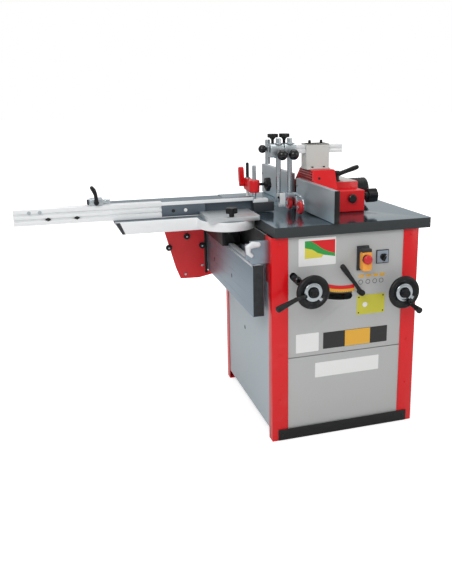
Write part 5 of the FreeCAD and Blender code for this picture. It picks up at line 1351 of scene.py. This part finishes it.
class MOULDER_OT_labels(bpy.types.Operator):
    """Bare plates and labels on the cabinet's front"""

    bl_idname = "moulder.labels"
    bl_label = "Labels"

    def execute(self, context):
        self.chart()
        label("pictogram_strip", [
            (oblong((-0.095, 0.367), (0.184, 0.435), 0.002), "label_black", 0),
            (oblong((-0.002, 0.368), (0.108, 0.434), 0.001), "label_orange", 1),
        ])
        label("square_label", [
            (oblong((-0.2095, 0.3625), (-0.114, 0.4395), 0.003), "label_white", 0),
        ])
        label("name_plate", [(oblong((-0.128, 0.250), (0.150, 0.312), 0.002), "label_white", 0)])
        label("olive_plate", [
            (oblong((0.0465, 0.493), (0.1685, 0.573), 0.003), "olive_plate", 0),
            (disc_outline(0.082, 0.533, 0.0105), "label_white", 1),
        ])
        front = PANEL_FACE - sizes().label_thick
        corners = [(Vector((x, front, z)), -Y) for x in (0.0545, 0.1605) for z in (0.501, 0.565)]
        screws("olive_plate_screws", "root", "machined_steel", corners, 0.003, 0.001, "black_oxide")
        fields = ((0.052, 0.076), (0.085, 0.105), (0.115, 0.135), (0.142, 0.165))
        label("symbol_row", [(oblong((a, 0.646), (b, 0.657), 0.002), "label_orange", 0) for a, b in fields])
        rings = []
        for x in (0.061, 0.092, 0.122, 0.150):
            hoop = eased([(0.0078, 0), (0.0096, 0), (0.0096, 0.0005), (0.0078, 0.0005)], 0.0001,
                         closed=True, steps=1)
            rings.append((turned(hoop, (x, PANEL_FACE, 0.627), -Y, 36, ring=True), "label_black"))
        together("symbol_rings", "root", "grey_paint", rings)
        return {"FINISHED"}

    def chart(self):
        low, high = (-0.200, 0.711), (-0.047, 0.819)
        wide, tall = high[0] - low[0], high[1] - low[1]

        def field(points):
            return [Vector((low[0] + u * wide, low[1] + v * tall)) for u, v in points]

        left, right, top = 0.165, 0.975, 0.905
        upper = [(0.31, top), (0.47, 0.77), (0.615, 0.61), (0.79, 0.49), (right, 0.40)]
        lower = [(left, 0.66), (0.365, 0.59), (0.505, 0.455), (0.685, 0.37), (right, 0.29)]
        ground = [(left, 0.27), (0.615, 0.285), (0.665, 0.38)]
        label("speed_chart", [
            (oblong(low, high, 0.003), "label_white", 0),
            (field([*upper, (right, top)]), "chart_red", 1),
            (field([(left, top), *lower, *reversed(upper)]), "chart_green", 1),
            (field([*ground, *reversed(lower[:3])]), "chart_yellow", 1),
        ])


class MOULDER_OT_fence(bpy.types.Operator):
    """Fence hood with its plates, port, knobs and lever"""

    bl_idname = "moulder.fence"
    bl_label = "Fence"

    def execute(self, context):
        low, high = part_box("fence_hood")
        inner = Vector((HOOD_LEFT + HOOD_SKIN, low.y + HOOD_SKIN,
                        low.z - HOOD_SKIN)), high - Vector((HOOD_SKIN,) * 3)
        dressed("fence_hood", 0.002, "red_gloss", spared=inner)
        self.trims()
        self.plates()
        self.port()
        self.controls()
        return {"FINISHED"}

    def trims(self):
        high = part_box("fence_hood")[1]
        roof, ease = 0.957, 0.031
        wall = -0.032
        washer = eased([(0.0065, 0), (0.0158, 0), (0.0158, 0.0002), (0.0065, 0.0002)], 0.0001, closed=True,
                       steps=1)
        # Dark disc on the crown's front: painted shade of a screw hole.
        hole_shade = eased([(0, -0.0002), (0.0055, -0.0002), (0.0055, 0.0008), (0.0045, 0.0012), (0, 0.0012)],
                     0.0003)
        slope = Vector((0, roof - high.z, ease)).normalized()
        cover = slab((0.104, -0.064, HOOD_STEP - 0.001), (high.x - 0.003, 0.168, HOOD_STEP + 0.0018),
                     0.0008)
        together("hood_trims", "root", "mast_paint", [
            (turned(washer, LEVER_FOOT, Z, 48, ring=True), "mast_paint"),
            (cover, "mast_paint"),
            (turned(hole_shade, (-0.0066, -0.0704, 1.005), slope, 28), "black_oxide"),
        ])
        # The crown's ridges take the darker red: painted shade on the crown's left wall.
        ridge = 0.0055
        grown("crown_ridges", "root", SLOT_OF["fence_hood"], "BarRow", Count=sizes().crown_ridges,
              Start=(wall - 0.0012, 0.018, 0.999), Step=(0, 0, sizes().crown_ridge_pitch),
              Size=(0.0044, 0.140, ridge), Finish=finish_of("red_shade"))

    def plates(self):
        edge = sizes().cast_edge
        for node, end in (("fence_plate_front", -1), ("fence_plate_rear", 1)):
            low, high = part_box(node)
            parts = [(softened(node, edge), "plate_alloy")]
            if end < 0:
                cap_low = (low.x - 0.0003, low.y - 0.0003, low.z)
                cap_high = (high.x + 0.0003, low.y + 0.007, high.z + 0.0003)
                parts.append((slab(cap_low, cap_high, 0.0012), "black_moulded"))
            else:
                bolt = eased([(0, 0), (0.006, 0), (0.006, 0.0008), (0.005, 0.0012), (0, 0.0012)], 0.0003)
                parts.append((turned(bolt, (low.x, high.y - 0.011, 0.963), -X, 28), "black_oxide"))
            stands_for(f"{node}_skin", node, parts)

    def port(self):
        low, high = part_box("dust_port")
        centre = Vector((low.x, 0.075, 0.930))
        radius, wall = 0.050, 0.004
        half = 0.054
        flange = slab((low.x, centre.y - half, low.z), (low.x + 0.006, centre.y + half, centre.z + half),
                      0.0015)
        long = high.x - low.x
        tube = eased([(radius - wall, 0.0), (radius - 0.0012, 0.0), (radius - 0.0012, long - 0.012),
                      (radius, long - 0.010), (radius, long), (radius - wall, long)], 0.0008, closed=True,
                      steps=2)
        parts = [(flange, "black_moulded"), (turned(tube, centre, X, 72, ring=True), "black_moulded")]
        stands_for("dust_port_tube", "dust_port", parts)
        grown("dust_port_ribs", "root", SLOT_OF["dust_port"], "PortRibs", Count=sizes().port_ribs,
              Pitch=sizes().port_rib_pitch, Start=(low.x + 0.014, centre.y, centre.z),
              Radius=radius - 0.0014,
              Thickness=0.0014, Finish=finish_of("black_moulded"))

    def controls(self):
        low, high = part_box("fence_adjust_knob")
        at = Vector((high.x - 0.052, -0.118, 0.930))
        parts = star_knob(at, X, 0.031, high.x - at.x, 6, 0.14, "black_moulded", skirt=0.012,
                          insert="black_oxide")
        stem = peg(0.006, at.x - low.x, 0.0006)
        parts.append((turned(stem, (low.x, at.y, at.z), X, 24), "bright_steel"))
        stands_for("fence_adjust_star", "fence_adjust_knob", parts)
        low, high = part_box("fence_lock_knob")
        face = low.y + 0.014
        disc = eased([(0, 0), (0.012, 0), (0.0175, 0.003), (0.019, 0.0065), (0.018, 0.0115),
                      (0.0145, 0.014), (0, 0.014)],
                     0.0015)
        stem = peg(0.006, high.y - face, 0.0006)
        stands_for("fence_lock_disc", "fence_lock_knob", [
            (turned(disc, (0.112, face, 0.925), -Y, 48), "black_gloss"),
            (turned(stem, (0.112, face, 0.925), Y, 24), "bright_steel"),
        ])
        low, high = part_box("fence_lock_lever")
        foot = LEVER_FOOT + Z * 0.0003
        rise = math.radians(17)
        way = Vector((math.cos(rise), 0, math.sin(rise)))
        post = eased([(0, 0), (0.014, 0), (0.014, 0.004), (0.009, 0.007), (0.009, 0.028), (0, 0.028)],
                     0.0012)
        head = eased([(0, 0.026), (0.011, 0.026), (0.013, 0.030), (0.013, 0.039), (0.010, 0.044),
                      (0, 0.044)], 0.002)
        start = foot + Z * 0.028
        arm = bar([start + way * d for d in (0.0, 0.020, 0.050, 0.080, 0.096)],
                  [0.0105, 0.0092, 0.0092, 0.0105, 0.0095],
                  flat=0.9)
        stem = eased([(0, low.z - foot.z), (0.006, low.z - foot.z), (0.006, 0), (0, 0)], 0.0006)
        stands_for("hood_clamp_lever", "fence_lock_lever", [
            (turned(post, foot, Z, 40), "black_oxide"),
            (turned(head, foot, Z, 40), "black_moulded"),
            (arm, "black_moulded"),
            (turned(stem, foot, Z, 24), "bright_steel"),
        ])


class MOULDER_OT_pressure(bpy.types.Operator):
    """Mast, bar, clamp head, shoe and rollers of the pressure device"""

    bl_idname = "moulder.pressure"
    bl_label = "Pressure device"

    def execute(self, context):
        self.mast()
        self.bar()
        self.head()
        self.knobs()
        self.shoe()
        self.rollers()
        return {"FINISHED"}

    def mast(self):
        low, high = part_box("pressure_mast")
        cap = slab((low.x, -0.022, high.z - 0.005), (high.x, 0.040, high.z), 0.001)
        dressed("pressure_mast", 0.0018, "mast_paint", [(cap, "mast_paint")])

    def bar(self):
        low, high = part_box("pressure_bar")
        mid_y, mid_z = (low.y + high.y) / 2, (low.z + high.z) / 2
        half = (high.y - low.y) / 2
        notch, deep = 0.0035, 0.003
        side = [(-half, -half), (-notch, -half), (-notch, -half + deep), (notch, -half + deep),
                (notch, -half), (half, -half)]
        outline = []
        for quarter in range(4):
            c, s = math.cos(quarter * math.pi / 2), math.sin(quarter * math.pi / 2)
            outline += [(u * c - v * s, u * s + v * c) for u, v in side[:-1]]
        solid = prism(eased(outline, 0.001, closed=True, steps=2), Vector((low.x, mid_y, mid_z)), Y, Z,
                      high.x - low.x, 0.0006)
        # A black oblong on the bar's end: painted shade of its hollow inside.
        inner = half - 0.006
        mouth = prism(oblong((-inner, -inner), (inner, inner), 0.002),
                      Vector((high.x - 0.0002, mid_y, mid_z)), Y, Z, 0.0004)
        stands_for("pressure_bar_profile", "pressure_bar", [(solid, "rail_alloy"), (mouth, "label_black")])

    def head(self):
        low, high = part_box("clamp_head")
        bottom, top = 1.094, 1.148
        parts = []
        for left, right in ((low.x, -0.150), (-0.146, high.x)):
            outline = eased([(-0.044, bottom + 0.004), (-0.036, bottom), (0.030, bottom),
                             (0.038, bottom + 0.010),
                             (0.038, top - 0.008), (0.028, top), (-0.034, top), (-0.044, top - 0.010)],
                             0.005, closed=True)
            parts.append((prism(outline, Vector((left, 0, 0)), Y, Z, right - left, 0.003, 3), "cast_alloy"))
        for x in (SHOE_ROD_X, ROLLER_ROD_X):
            bore = ROD_RADIUS + 0.0001
            boss = eased([(bore, 0), (0.0175, 0), (0.0175, 0.003), (bore, 0.003)], 0.001, closed=True,
                         steps=2)
            for z in (bottom - 0.003, top):
                parts.append((turned(boss, (x, ROD_Y, z), Z, 40, ring=True), "cast_alloy"))
        parts.append((round_rod((low.x + ROD_RADIUS, high.y - ROD_RADIUS, low.z), high.z), "bright_steel"))
        stands_for("clamp_head_castings", "clamp_head", parts)

    def knobs(self):
        top = 1.148
        parts = []
        for x in (-0.183, -0.133):
            at = Vector((x, 0.009, top))
            neck = eased([(0, 0), (0.006, 0), (0.006, 0.013), (0.009, 0.019), (0.015, 0.0245), (0, 0.0245)],
                         0.003)
            parts.append((turned(neck, at, Z, 32), "black_moulded"))
            crown = prism(lobed_outline(0.0235, 3, 0.14), at + Z * 0.024, X, Y, 0.0145, 0.006, 4)
            parts.append((crown, "black_moulded"))
        for x in (SHOE_ROD_X, ROLLER_ROD_X):
            at = Vector((x, -0.044, 1.1075))
            parts += self.ball(at, -Y, 0.022, 0.010)
        parts += self.ball(Vector((-0.208, 0.016, 1.126)), -X, 0.017, 0.0)
        cap = slab((-0.208, -0.008, 1.104), (-0.204, 0.026, 1.138), 0.001)
        parts.append((cap, "cast_alloy"))
        stands_for("head_grips", "head_knobs", parts)

    def ball(self, at, way, radius, stand):
        arc = [(radius * math.sin(a), stand + radius - radius * math.cos(a))
               for a in [math.pi * (0.12 + 0.88 * i / 28) for i in range(29)]]
        arc[-1] = (0, stand + 2 * radius)
        neck = [(0, 0), (0.0058, 0), (0.0058, arc[0][1])]
        return [(turned([*neck, *arc], at, way, 40), "black_gloss")]

    def shoe(self):
        low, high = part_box("shoe_rod")
        plate = slab((low.x, low.y + 0.004, 0.936), (high.x, high.y - 0.004, 0.948), 0.001)
        foot = eased([(-0.012, 0.948), (-0.012, 0.900), (-0.006, 0.888), (0.006, 0.888), (0.012, 0.900),
                      (0.012, 0.948)],
                     0.004, closed=True)
        block = prism(foot, Vector((high.x - 0.024, -0.026, 0)), Y, Z, 0.024, 0.0015)
        clip = slab((low.x + 0.001, low.y, 0.912), (low.x + 0.015, high.y, 0.948), 0.002)
        bolt = eased([(0, 0), (0.005, 0), (0.005, 0.003), (0.004, 0.004), (0, 0.004)], 0.0005)
        stands_for("pressure_shoe", "shoe_rod", [
            (round_rod((SHOE_ROD_X, ROD_Y, 0.948), high.z), "bright_steel"),
            (plate, "cast_alloy"),
            (clip, "cast_alloy"),
            (block, "shoe_white"),
            (turned(bolt, (low.x + 0.008, low.y + 0.0005, 0.930), -Y, 24), "black_oxide"),
        ])

    def rollers(self):
        low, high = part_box("roller_rod")
        axle_z = middle("roller_front").z
        face = -0.100
        yoke = eased([(low.y, axle_z - 0.006), (low.y + 0.010, axle_z - 0.009),
                      (high.y - 0.010, axle_z - 0.009),
                      (high.y, axle_z - 0.006), (high.y, axle_z + 0.008), (-0.008, axle_z + 0.012),
                      (-0.014, 0.946),
                      (-0.038, 0.946), (-0.046, axle_z + 0.014), (low.y, axle_z + 0.008)], 0.004,
                      closed=True)
        parts = [
            (round_rod((ROLLER_ROD_X, ROD_Y, 0.946), high.z), "bright_steel"),
            (prism(yoke, Vector((face, 0, 0)), Y, Z, high.x - face, 0.001), "bright_steel"),
            (slab((low.x, -0.038, 0.928), (-0.095, -0.014, 0.946), 0.002), "cast_alloy"),
            (bar([(-0.097, -0.030, 0.938), (-0.097, -0.060, 0.940), (-0.097, -0.096, 0.937),
                  (-0.097, -0.122, 0.926),
                  (-0.097, -0.130, 0.908)], [0.0042] * 5, facing=X, steps=16), "bright_steel"),
        ]
        for node in ("roller_front", "roller_rear"):
            box_low, box_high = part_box(node)
            y = (box_low.y + box_high.y) / 2
            axle = eased([(0, -0.0005), (0.005, -0.0005), (0.005, 0.0184), (0.009, 0.0184), (0.009, 0.0212),
                          (0.006, 0.0222), (0, 0.0222)], 0.0006)
            parts.append((turned(axle, (face, y, axle_z), -X, 32), "bright_steel"))
            shoulder = eased([(0.0051, 0), (0.009, 0), (0.009, 0.0026), (0.0051, 0.0026)], 0.0004,
                             closed=True, steps=2)
            parts.append((turned(shoulder, (face, y, axle_z), -X, 32, ring=True), "bright_steel"))
            self.roller(node, box_low, box_high, y, axle_z)
        stands_for("roller_carrier", "roller_rod", parts)

    def roller(self, node, low, high, y, z):
        radius, wide = (high.y - low.y) / 2, high.x - low.x
        bore = 0.00505
        tyre = eased([(0.0185, 0.0016), (0.0205, 0.0), (radius - 0.003, 0), (radius, 0.003),
                      (radius, wide - 0.003),
                      (radius - 0.003, wide), (0.0205, wide), (0.0185, wide - 0.0016)], 0.0012, closed=True,
                      steps=3)
        hub = eased([(bore, 0.0), (0.0125, 0.0), (0.0185, 0.0025), (0.0185, wide - 0.0025), (0.0125, wide),
                     (bore, wide)],
                    0.0008, closed=True, steps=2)
        together(f"{node}_tyre", node, SLOT_OF[node], [
            (turned(tyre, (low.x, y, z), X, 64, ring=True), "roller_red"),
            (turned(hub, (low.x, y, z), X, 48, ring=True), "roller_red"),
        ], [node])


class MOULDER_OT_carriage(bpy.types.Operator):
    """Slide beam, saddle, crosscut deck and outrigger"""

    bl_idname = "moulder.carriage"
    bl_label = "Sliding carriage"

    def execute(self, context):
        edge = sizes().cast_edge
        low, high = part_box("slide_beam")
        # Black discs on the beam's left face: painted shade of its holes.
        hole_shade = eased([(0, -0.001), (0.009, -0.001), (0.009, 0.0004), (0, 0.0004)], 0.0002)
        hole_shades = [(turned(hole_shade, (low.x, y, 0.610), -X, 28), "label_black") for y in (-0.021, 0.280, 0.580)]
        mouth = slab((low.x + 0.002, low.y - 0.0003, low.z + 0.002),
                     (high.x - 0.002, low.y + 0.006, high.z - 0.002))
        beam = dressed("slide_beam", 0.0022, "beam_alloy", [*hole_shades, (mouth, "rough_dark")])
        repaint(beam, "white_casting", lambda face: face.normal.z > 0.9 and face.center.z > 0.71)
        grown("beam_lines", "root", SLOT_OF["slide_beam"], "BarRow", Count=sizes().beam_lines,
              Start=(low.x, (low.y + high.y) / 2, 0.555), Step=(0, 0, 0.042),
              Size=(0.0008, high.y - low.y - 0.008, 0.0014), Finish=finish_of("beam_alloy"))
        claw = bar([(-0.350, -0.324, 0.804), (-0.374, -0.327, 0.806), (-0.392, -0.328, 0.797),
                    (-0.391, -0.328, 0.776),
                    (-0.378, -0.328, 0.764)], [0.010, 0.013, 0.012, 0.009, 0.007], flat=0.8)
        dressed("beam_braces", 0.004, "beam_alloy", [(claw, "white_casting")])
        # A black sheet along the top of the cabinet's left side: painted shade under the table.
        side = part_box("outer_panels")[0].x
        shade = slab((side - 0.0012, -0.292, 0.724), (side, 0.300, 0.828), 0.0004)
        # The black disc on the side is a hole's painted shade.
        plug = turned(hole_shade, (side, 0.039, 0.353), -X, 28)
        together("side_painted_shade", "root", "black_paint", [(shade, "black_paint"), (plug, "label_black")])
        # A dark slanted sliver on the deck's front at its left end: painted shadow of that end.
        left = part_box("crosscut_table")[0].x
        end = [(left + 0.0005, 0.868), (left + 0.018, 0.868), (left + 0.037, 0.8215),
               (left + 0.0255, 0.8215)]
        cap = prism([Vector(point) for point in end], Vector((0, DECK_FRONT + 0.001, 0)), X, Z, 0.0018,
                    0.0004)
        deck = dressed("crosscut_table", edge, "rail_alloy", [(cap, "tip_grey")])
        # The deck's top faces take the darker alloy: painted shade.
        repaint(deck, "deck_alloy", lambda face: face.normal.z > 0.99)
        # The deck's left end faces take the dark alloy: painted shade.
        repaint(deck, "dark_alloy", lambda face: face.normal.x < -0.3 and face.center.x < -0.75)
        dressed("carriage_saddle", edge, "black_paint")
        beam_left = low.x
        low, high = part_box("outrigger_wing")
        rim = slab((beam_left - 0.014, low.y - 0.0006, 0.508), (beam_left - 0.0008, high.y, 0.716), 0.0006)
        # The wing takes the lighter red: painted light.
        dressed("outrigger_wing", 0.001, "wing_red", [(rim, "black_paint")])
        self.buffers()
        return {"FINISHED"}

    def buffers(self):
        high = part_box("rubber_buffers")[1]
        parts = []
        for x, z in ((-0.473, 0.694), (-0.560, 0.645), (-0.401, 0.645)):
            dome = eased([(0, 0), (0.0146, 0), (0.015, 0.003), (0.0145, 0.009), (0.0115, 0.0135),
                          (0.0062, 0.014),
                          (0.0056, 0.0125), (0, 0.0125)], 0.0012)
            parts.append((turned(dome, (x, high.y, z), -Y, 40), "rubber"))
            pin = eased([(0, 0), (0.0044, 0), (0.0044, 0.0134), (0, 0.0136)], 0.0005)
            parts.append((turned(pin, (x, high.y, z), -Y, 24), "bright_steel"))
        stands_for("rubber_stops", "rubber_buffers", parts)
        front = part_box("outrigger_wing")[0].y
        bolts = [(Vector((x, front, z)), -Y) for x, z in ((-0.4845, 0.511), (-0.4025, 0.548))]
        screws("wing_bolts", "carriage", "machined_steel", bolts, 0.006, 0.005, "bright_steel")


class MOULDER_OT_mitre(bpy.types.Operator):
    """Mitre fence with its head, extension, stop and knob"""

    bl_idname = "moulder.mitre"
    bl_label = "Mitre fence"

    def execute(self, context):
        edge = sizes().cast_edge
        dressed("mitre_head", edge, "bright_alloy")
        rail = dressed("mitre_fence", edge * 0.7, "rail_alloy")
        low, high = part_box("mitre_fence")
        # The mitre fence's top faces take the darker alloy: painted shade.
        repaint(rail, "deck_alloy", lambda face: face.normal.z > 0.99 and face.center.z > high.z - 0.001)
        # The faces inside the mitre fence's channel take the dark alloy: painted shade in the recess.
        repaint(rail, "dark_alloy",
                lambda face: low.y + 0.001 < face.center.y < 0.015 and abs(face.normal.x) < 0.5
                and low.z + 0.001 < face.center.z < high.z - 0.002)
        self.tip()
        self.extension()
        self.knob()
        self.stop()
        return {"FINISHED"}

    def tip(self):
        low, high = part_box("fence_tip")
        lip = slab((low.x, low.y + 0.004, high.z - 0.001), (low.x + TIP_LIP, high.y, high.z + 0.014),
                   0.0008)
        dressed("fence_tip", 0.002, "tip_grey", [(lip, "rail_alloy")])

    def extension(self):
        low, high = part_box("fence_extension")
        joint = -0.6553
        front, rear = low.y, high.y
        tall = high.z - low.z
        outline = [(rear, low.z), (rear, high.z), (front, high.z)]
        for share in (2 / 3, 1 / 3):
            z = low.z + tall * share
            outline += [(front, z + 0.005), (front + 0.008, z + 0.003), (front + 0.008, z - 0.003),
                        (front, z - 0.005)]
        outline += [(front, low.z)]
        form = prism(eased(outline, 0.0012, closed=True, steps=2), Vector((low.x, 0, 0)), Y, Z,
                     joint - low.x, 0.0008)
        # The tongue takes the dark alloy: painted shade of the recess that it sits in.
        tongue_low, tongue_high = (joint, front + 0.0003, 0.8753), (high.x, 0.0117, 0.9197)
        parts = [(form, "rail_alloy"), (slab(tongue_low, tongue_high, 0.001), "dark_alloy")]
        nut = eased([(-0.011, 0), (0, -0.0075), (0.011, 0), (0, 0.0075)], 0.0015, closed=True)
        for x, z in ((-1.0855, low.z + tall / 3), (-0.980, low.z + tall / 3)):
            parts.append((prism(nut, Vector((x, front + 0.004, z)), X, Z, 0.0045, 0.0005), "black_oxide"))
        disc = eased([(0, 0), (0.007, 0), (0.007, 0.0018), (0.006, 0.0024), (0, 0.0024)], 0.0004)
        for x in (-1.152, -1.1137):
            parts.append((turned(disc, (x, front + 0.0015, low.z + tall * 0.79), -Y, 32), "cast_alloy"))
        # The second screw head is white: a painted highlight.
        for x, shade in ((-0.6095, "black_oxide"), (-0.5595, "label_white")):
            parts.append((turned(disc, (x, front + 0.0006, 0.8975), -Y, 28), shade))
        stands_for("fence_extension_profile", "fence_extension", parts)

    def knob(self):
        low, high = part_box("mitre_knob")
        base = 0.8883
        at = Vector((-0.411, -0.172, base))
        parts = star_knob(at, Z, 0.024, high.z - base, 5, 0.24, "black_moulded", skirt=0.013, insert=None)
        stem = peg(0.006, base - low.z, 0.0005)
        parts.append((turned(stem, (at.x, at.y, low.z), Z, 24), "bright_steel"))
        stands_for("mitre_star", "mitre_knob", parts)

    def stop(self):
        low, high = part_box("stop_block")
        left, right = -0.930, -0.880
        base, pin_z = 0.9343, 0.9473
        front, rear = low.y, high.y
        block = slab((left, front, base), (right, rear, high.z), 0.003, 3)
        hang = slab((left, rear - 0.006, low.z), (right, rear, high.z), 0.0015)
        barrel_long = high.x - low.x
        barrel = eased([(0, 0), (0.0085, 0), (0.010, 0.0015), (0.010, 0.006), (0.0088, 0.008),
                        (0.0088, barrel_long - 0.020),
                        (0.010, barrel_long - 0.018), (0.010, barrel_long - 0.002), (0.0085, barrel_long),
                        (0, barrel_long)],
                       0.0012)
        axis = Vector((low.x, 0.002, pin_z))
        plug = eased([(0, -0.0008), (0.009, -0.0008), (0.0106, 0.001), (0.0106, 0.0062), (0, 0.0062)],
                     0.0008)
        parts = [(block, "cast_alloy"), (hang, "bright_alloy"),
                 (turned(barrel, axis, X, 36), "bright_steel"),
                 (turned(plug, axis, X, 36), "black_moulded")]
        stands_for("stop_clamp", "stop_block", parts)
        face = front - 0.0003
        hub = eased([(0, 0), (0.010, 0), (0.010, 0.013), (0.008, 0.016), (0, 0.016)], 0.0015)
        lean = math.radians(-10)
        way = Vector((math.sin(lean), 0, math.cos(lean)))
        start = Vector((-0.905, face - 0.008, pin_z))
        bend = (0.0, 0.003, 0.004, 0.001, -0.004)
        path = [start + way * d + X * sag for d, sag in zip((0.0, 0.016, 0.034, 0.050, 0.060), bend)]
        pin = peg(0.005, 0.020, 0.0005)
        stands_for("stop_handle", "stop_lever", [
            (turned(hub, (start.x, face, pin_z), -Y, 36), "black_moulded"),
            (bar(path, [0.0085, 0.0068, 0.0073, 0.0086, 0.0072], flat=0.8), "black_moulded"),
            (turned(pin, (start.x, face, pin_z), Y, 24), "bright_steel"),
        ])


class MOULDER_OT_clamp(bpy.types.Operator):
    """Hold-down clamp on the mitre fence"""

    bl_idname = "moulder.clamp"
    bl_label = "Hold-down clamp"

    def execute(self, context):
        low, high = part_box("clamp_column")
        axis = Vector((-0.266, 0.002, low.z))
        tall = high.z - low.z
        rod = eased([(0, 0), (0.008, 0), (0.008, tall - 0.002), (0.0062, tall), (0, tall)], 0.0006)
        collar = eased([(0.0079, 0), (0.013, 0), (0.013, 0.008), (0.0079, 0.008)], 0.001, closed=True,
                       steps=2)
        stands_for("clamp_post", "clamp_column", [
            (turned(rod, axis, Z, 36), "bright_steel"),
            (turned(collar, axis, Z, 40, ring=True), "bright_steel"),
        ])
        self.arm(axis)
        self.knob(axis)
        self.lever()
        self.pad()
        return {"FINISHED"}

    def arm(self, axis):
        low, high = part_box("clamp_arm")
        tall = high.z - low.z
        sleeve = eased([(0.0081, 0), (0.0195, 0), (0.022, 0.004), (0.022, tall - 0.004), (0.0195, tall),
                        (0.0081, tall)],
                       0.002, closed=True, steps=3)
        bottom, top = 0.950, 0.998
        side = eased([(0.012, bottom + 0.002), (0.060, bottom), (0.112, bottom), (high.y, bottom + 0.012),
                      (high.y, top),
                      (0.060, top), (0.012, top - 0.002)], 0.008, closed=True, steps=5)
        web = prism(side, Vector((axis.x - 0.012, 0, 0)), Y, Z, 0.024, 0.003, 3)
        guide = eased([(0.0071, 0), (0.0112, 0), (0.0112, 0.004), (0.0071, 0.004)], 0.0008, closed=True,
                      steps=2)
        stands_for("clamp_arm_casting", "clamp_arm", [
            (turned(sleeve, (axis.x, axis.y, low.z), Z, 48, ring=True), "red_gloss"),
            (web, "red_gloss"),
            (turned(guide, (axis.x, 0.100, top - 0.0005), Z, 36, ring=True), "bright_steel"),
        ])

    def knob(self, axis):
        low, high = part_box("clamp_knob")
        at = Vector((-0.222, axis.y, 0.983))
        parts = star_knob(at, X, 0.030, high.x - at.x, 5, 0.22, "black_moulded", skirt=0.006,
                          insert="bright_steel")
        stem = peg(0.006, at.x - low.x, 0.0005)
        parts.append((turned(stem, (low.x, at.y, at.z), X, 24), "black_oxide"))
        stands_for("clamp_star", "clamp_knob", parts)

    def lever(self):
        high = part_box("clamp_lever")[1]
        pivot = Vector((-0.279, 0.113, 0.974))
        lean = Matrix.Rotation(math.radians(-2), 3, "Y")
        wide = 0.0115
        outline = eased([(-wide, 0.0), (wide, 0.0), (wide, 0.060), (0.006, 0.0715), (-0.006, 0.0715),
                         (-wide, 0.060)], 0.008,
                        closed=True, steps=5)
        thick = 0.020
        blade = prism(outline, pivot - X * thick, Y, lean @ Z, thick, 0.004, 3)
        hub = eased([(0, 0), (wide, 0), (wide, thick - 0.001), (0.009, thick), (0, thick)], 0.001)
        pin = peg(0.005, high.x - pivot.x, 0.0005)
        stands_for("clamp_lever_blade", "clamp_lever", [
            (blade, "red_gloss"),
            (turned(hub, pivot, -X, 40), "red_gloss"),
            (turned(pin, pivot, X, 24), "bright_steel"),
        ])

    def pad(self):
        low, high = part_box("clamp_pad")
        axis = Vector((-0.266, 0.100, low.z))
        tall = high.z - low.z
        foot = eased([(0, 0), (0.0138, 0), (0.015, 0.002), (0.0135, 0.007), (0.009, 0.010), (0, 0.010)],
                     0.0015)
        arm_bottom = 0.950 - low.z
        sleeve = eased([(0, 0.009), (0.0069, 0.009), (0.0069, arm_bottom), (0, arm_bottom)], 0.0008)
        rod = eased([(0, arm_bottom), (0.0066, arm_bottom), (0.0066, tall - 0.004), (0.0045, tall),
                     (0, tall)], 0.0015)
        stands_for("clamp_foot", "clamp_pad", [
            (turned(foot, axis, Z, 40), "shoe_white"),
            (turned(sleeve, axis, Z, 32), "shoe_white"),
            (turned(rod, axis, Z, 32), "black_oxide"),
        ])


PIECES = (
    MOULDER_OT_cabinet, MOULDER_OT_table, MOULDER_OT_drive, MOULDER_OT_handwheels, MOULDER_OT_tilt_lock,
    MOULDER_OT_switches, MOULDER_OT_labels, MOULDER_OT_fence, MOULDER_OT_pressure, MOULDER_OT_carriage,
    MOULDER_OT_mitre, MOULDER_OT_clamp, MOULDER_OT_stage,
)


class MOULDER_PT_panel(bpy.types.Panel):
    """Lists what builds the machine"""

    bl_idname = "MOULDER_PT_panel"
    bl_label = "Spindle moulder"
    bl_space_type = "VIEW_3D"
    bl_region_type = "UI"
    bl_category = "Moulder"

    def draw(self, context):
        for kind in PIECES:
            self.layout.operator(kind.bl_idname)
        for group in (sizes(), colours()):
            box = self.layout.box()
            for name in group.__annotations__:
                box.prop(group, name)


CLASSES = (MoulderColours, MoulderSizes, *PIECES, MOULDER_PT_panel)


def register():
    for kind in CLASSES:
        bpy.utils.register_class(kind)
    bpy.types.Scene.moulder_colours = PointerProperty(type=MoulderColours)
    bpy.types.Scene.moulder_sizes = PointerProperty(type=MoulderSizes)


def unregister():
    del bpy.types.Scene.moulder_sizes
    del bpy.types.Scene.moulder_colours
    for kind in reversed(CLASSES):
        bpy.utils.unregister_class(kind)


def main():
    register()
    for kind in PIECES:
        group, name = kind.bl_idname.split(".")
        getattr(getattr(bpy.ops, group), name)()


if __name__ == "__main__":
    main()
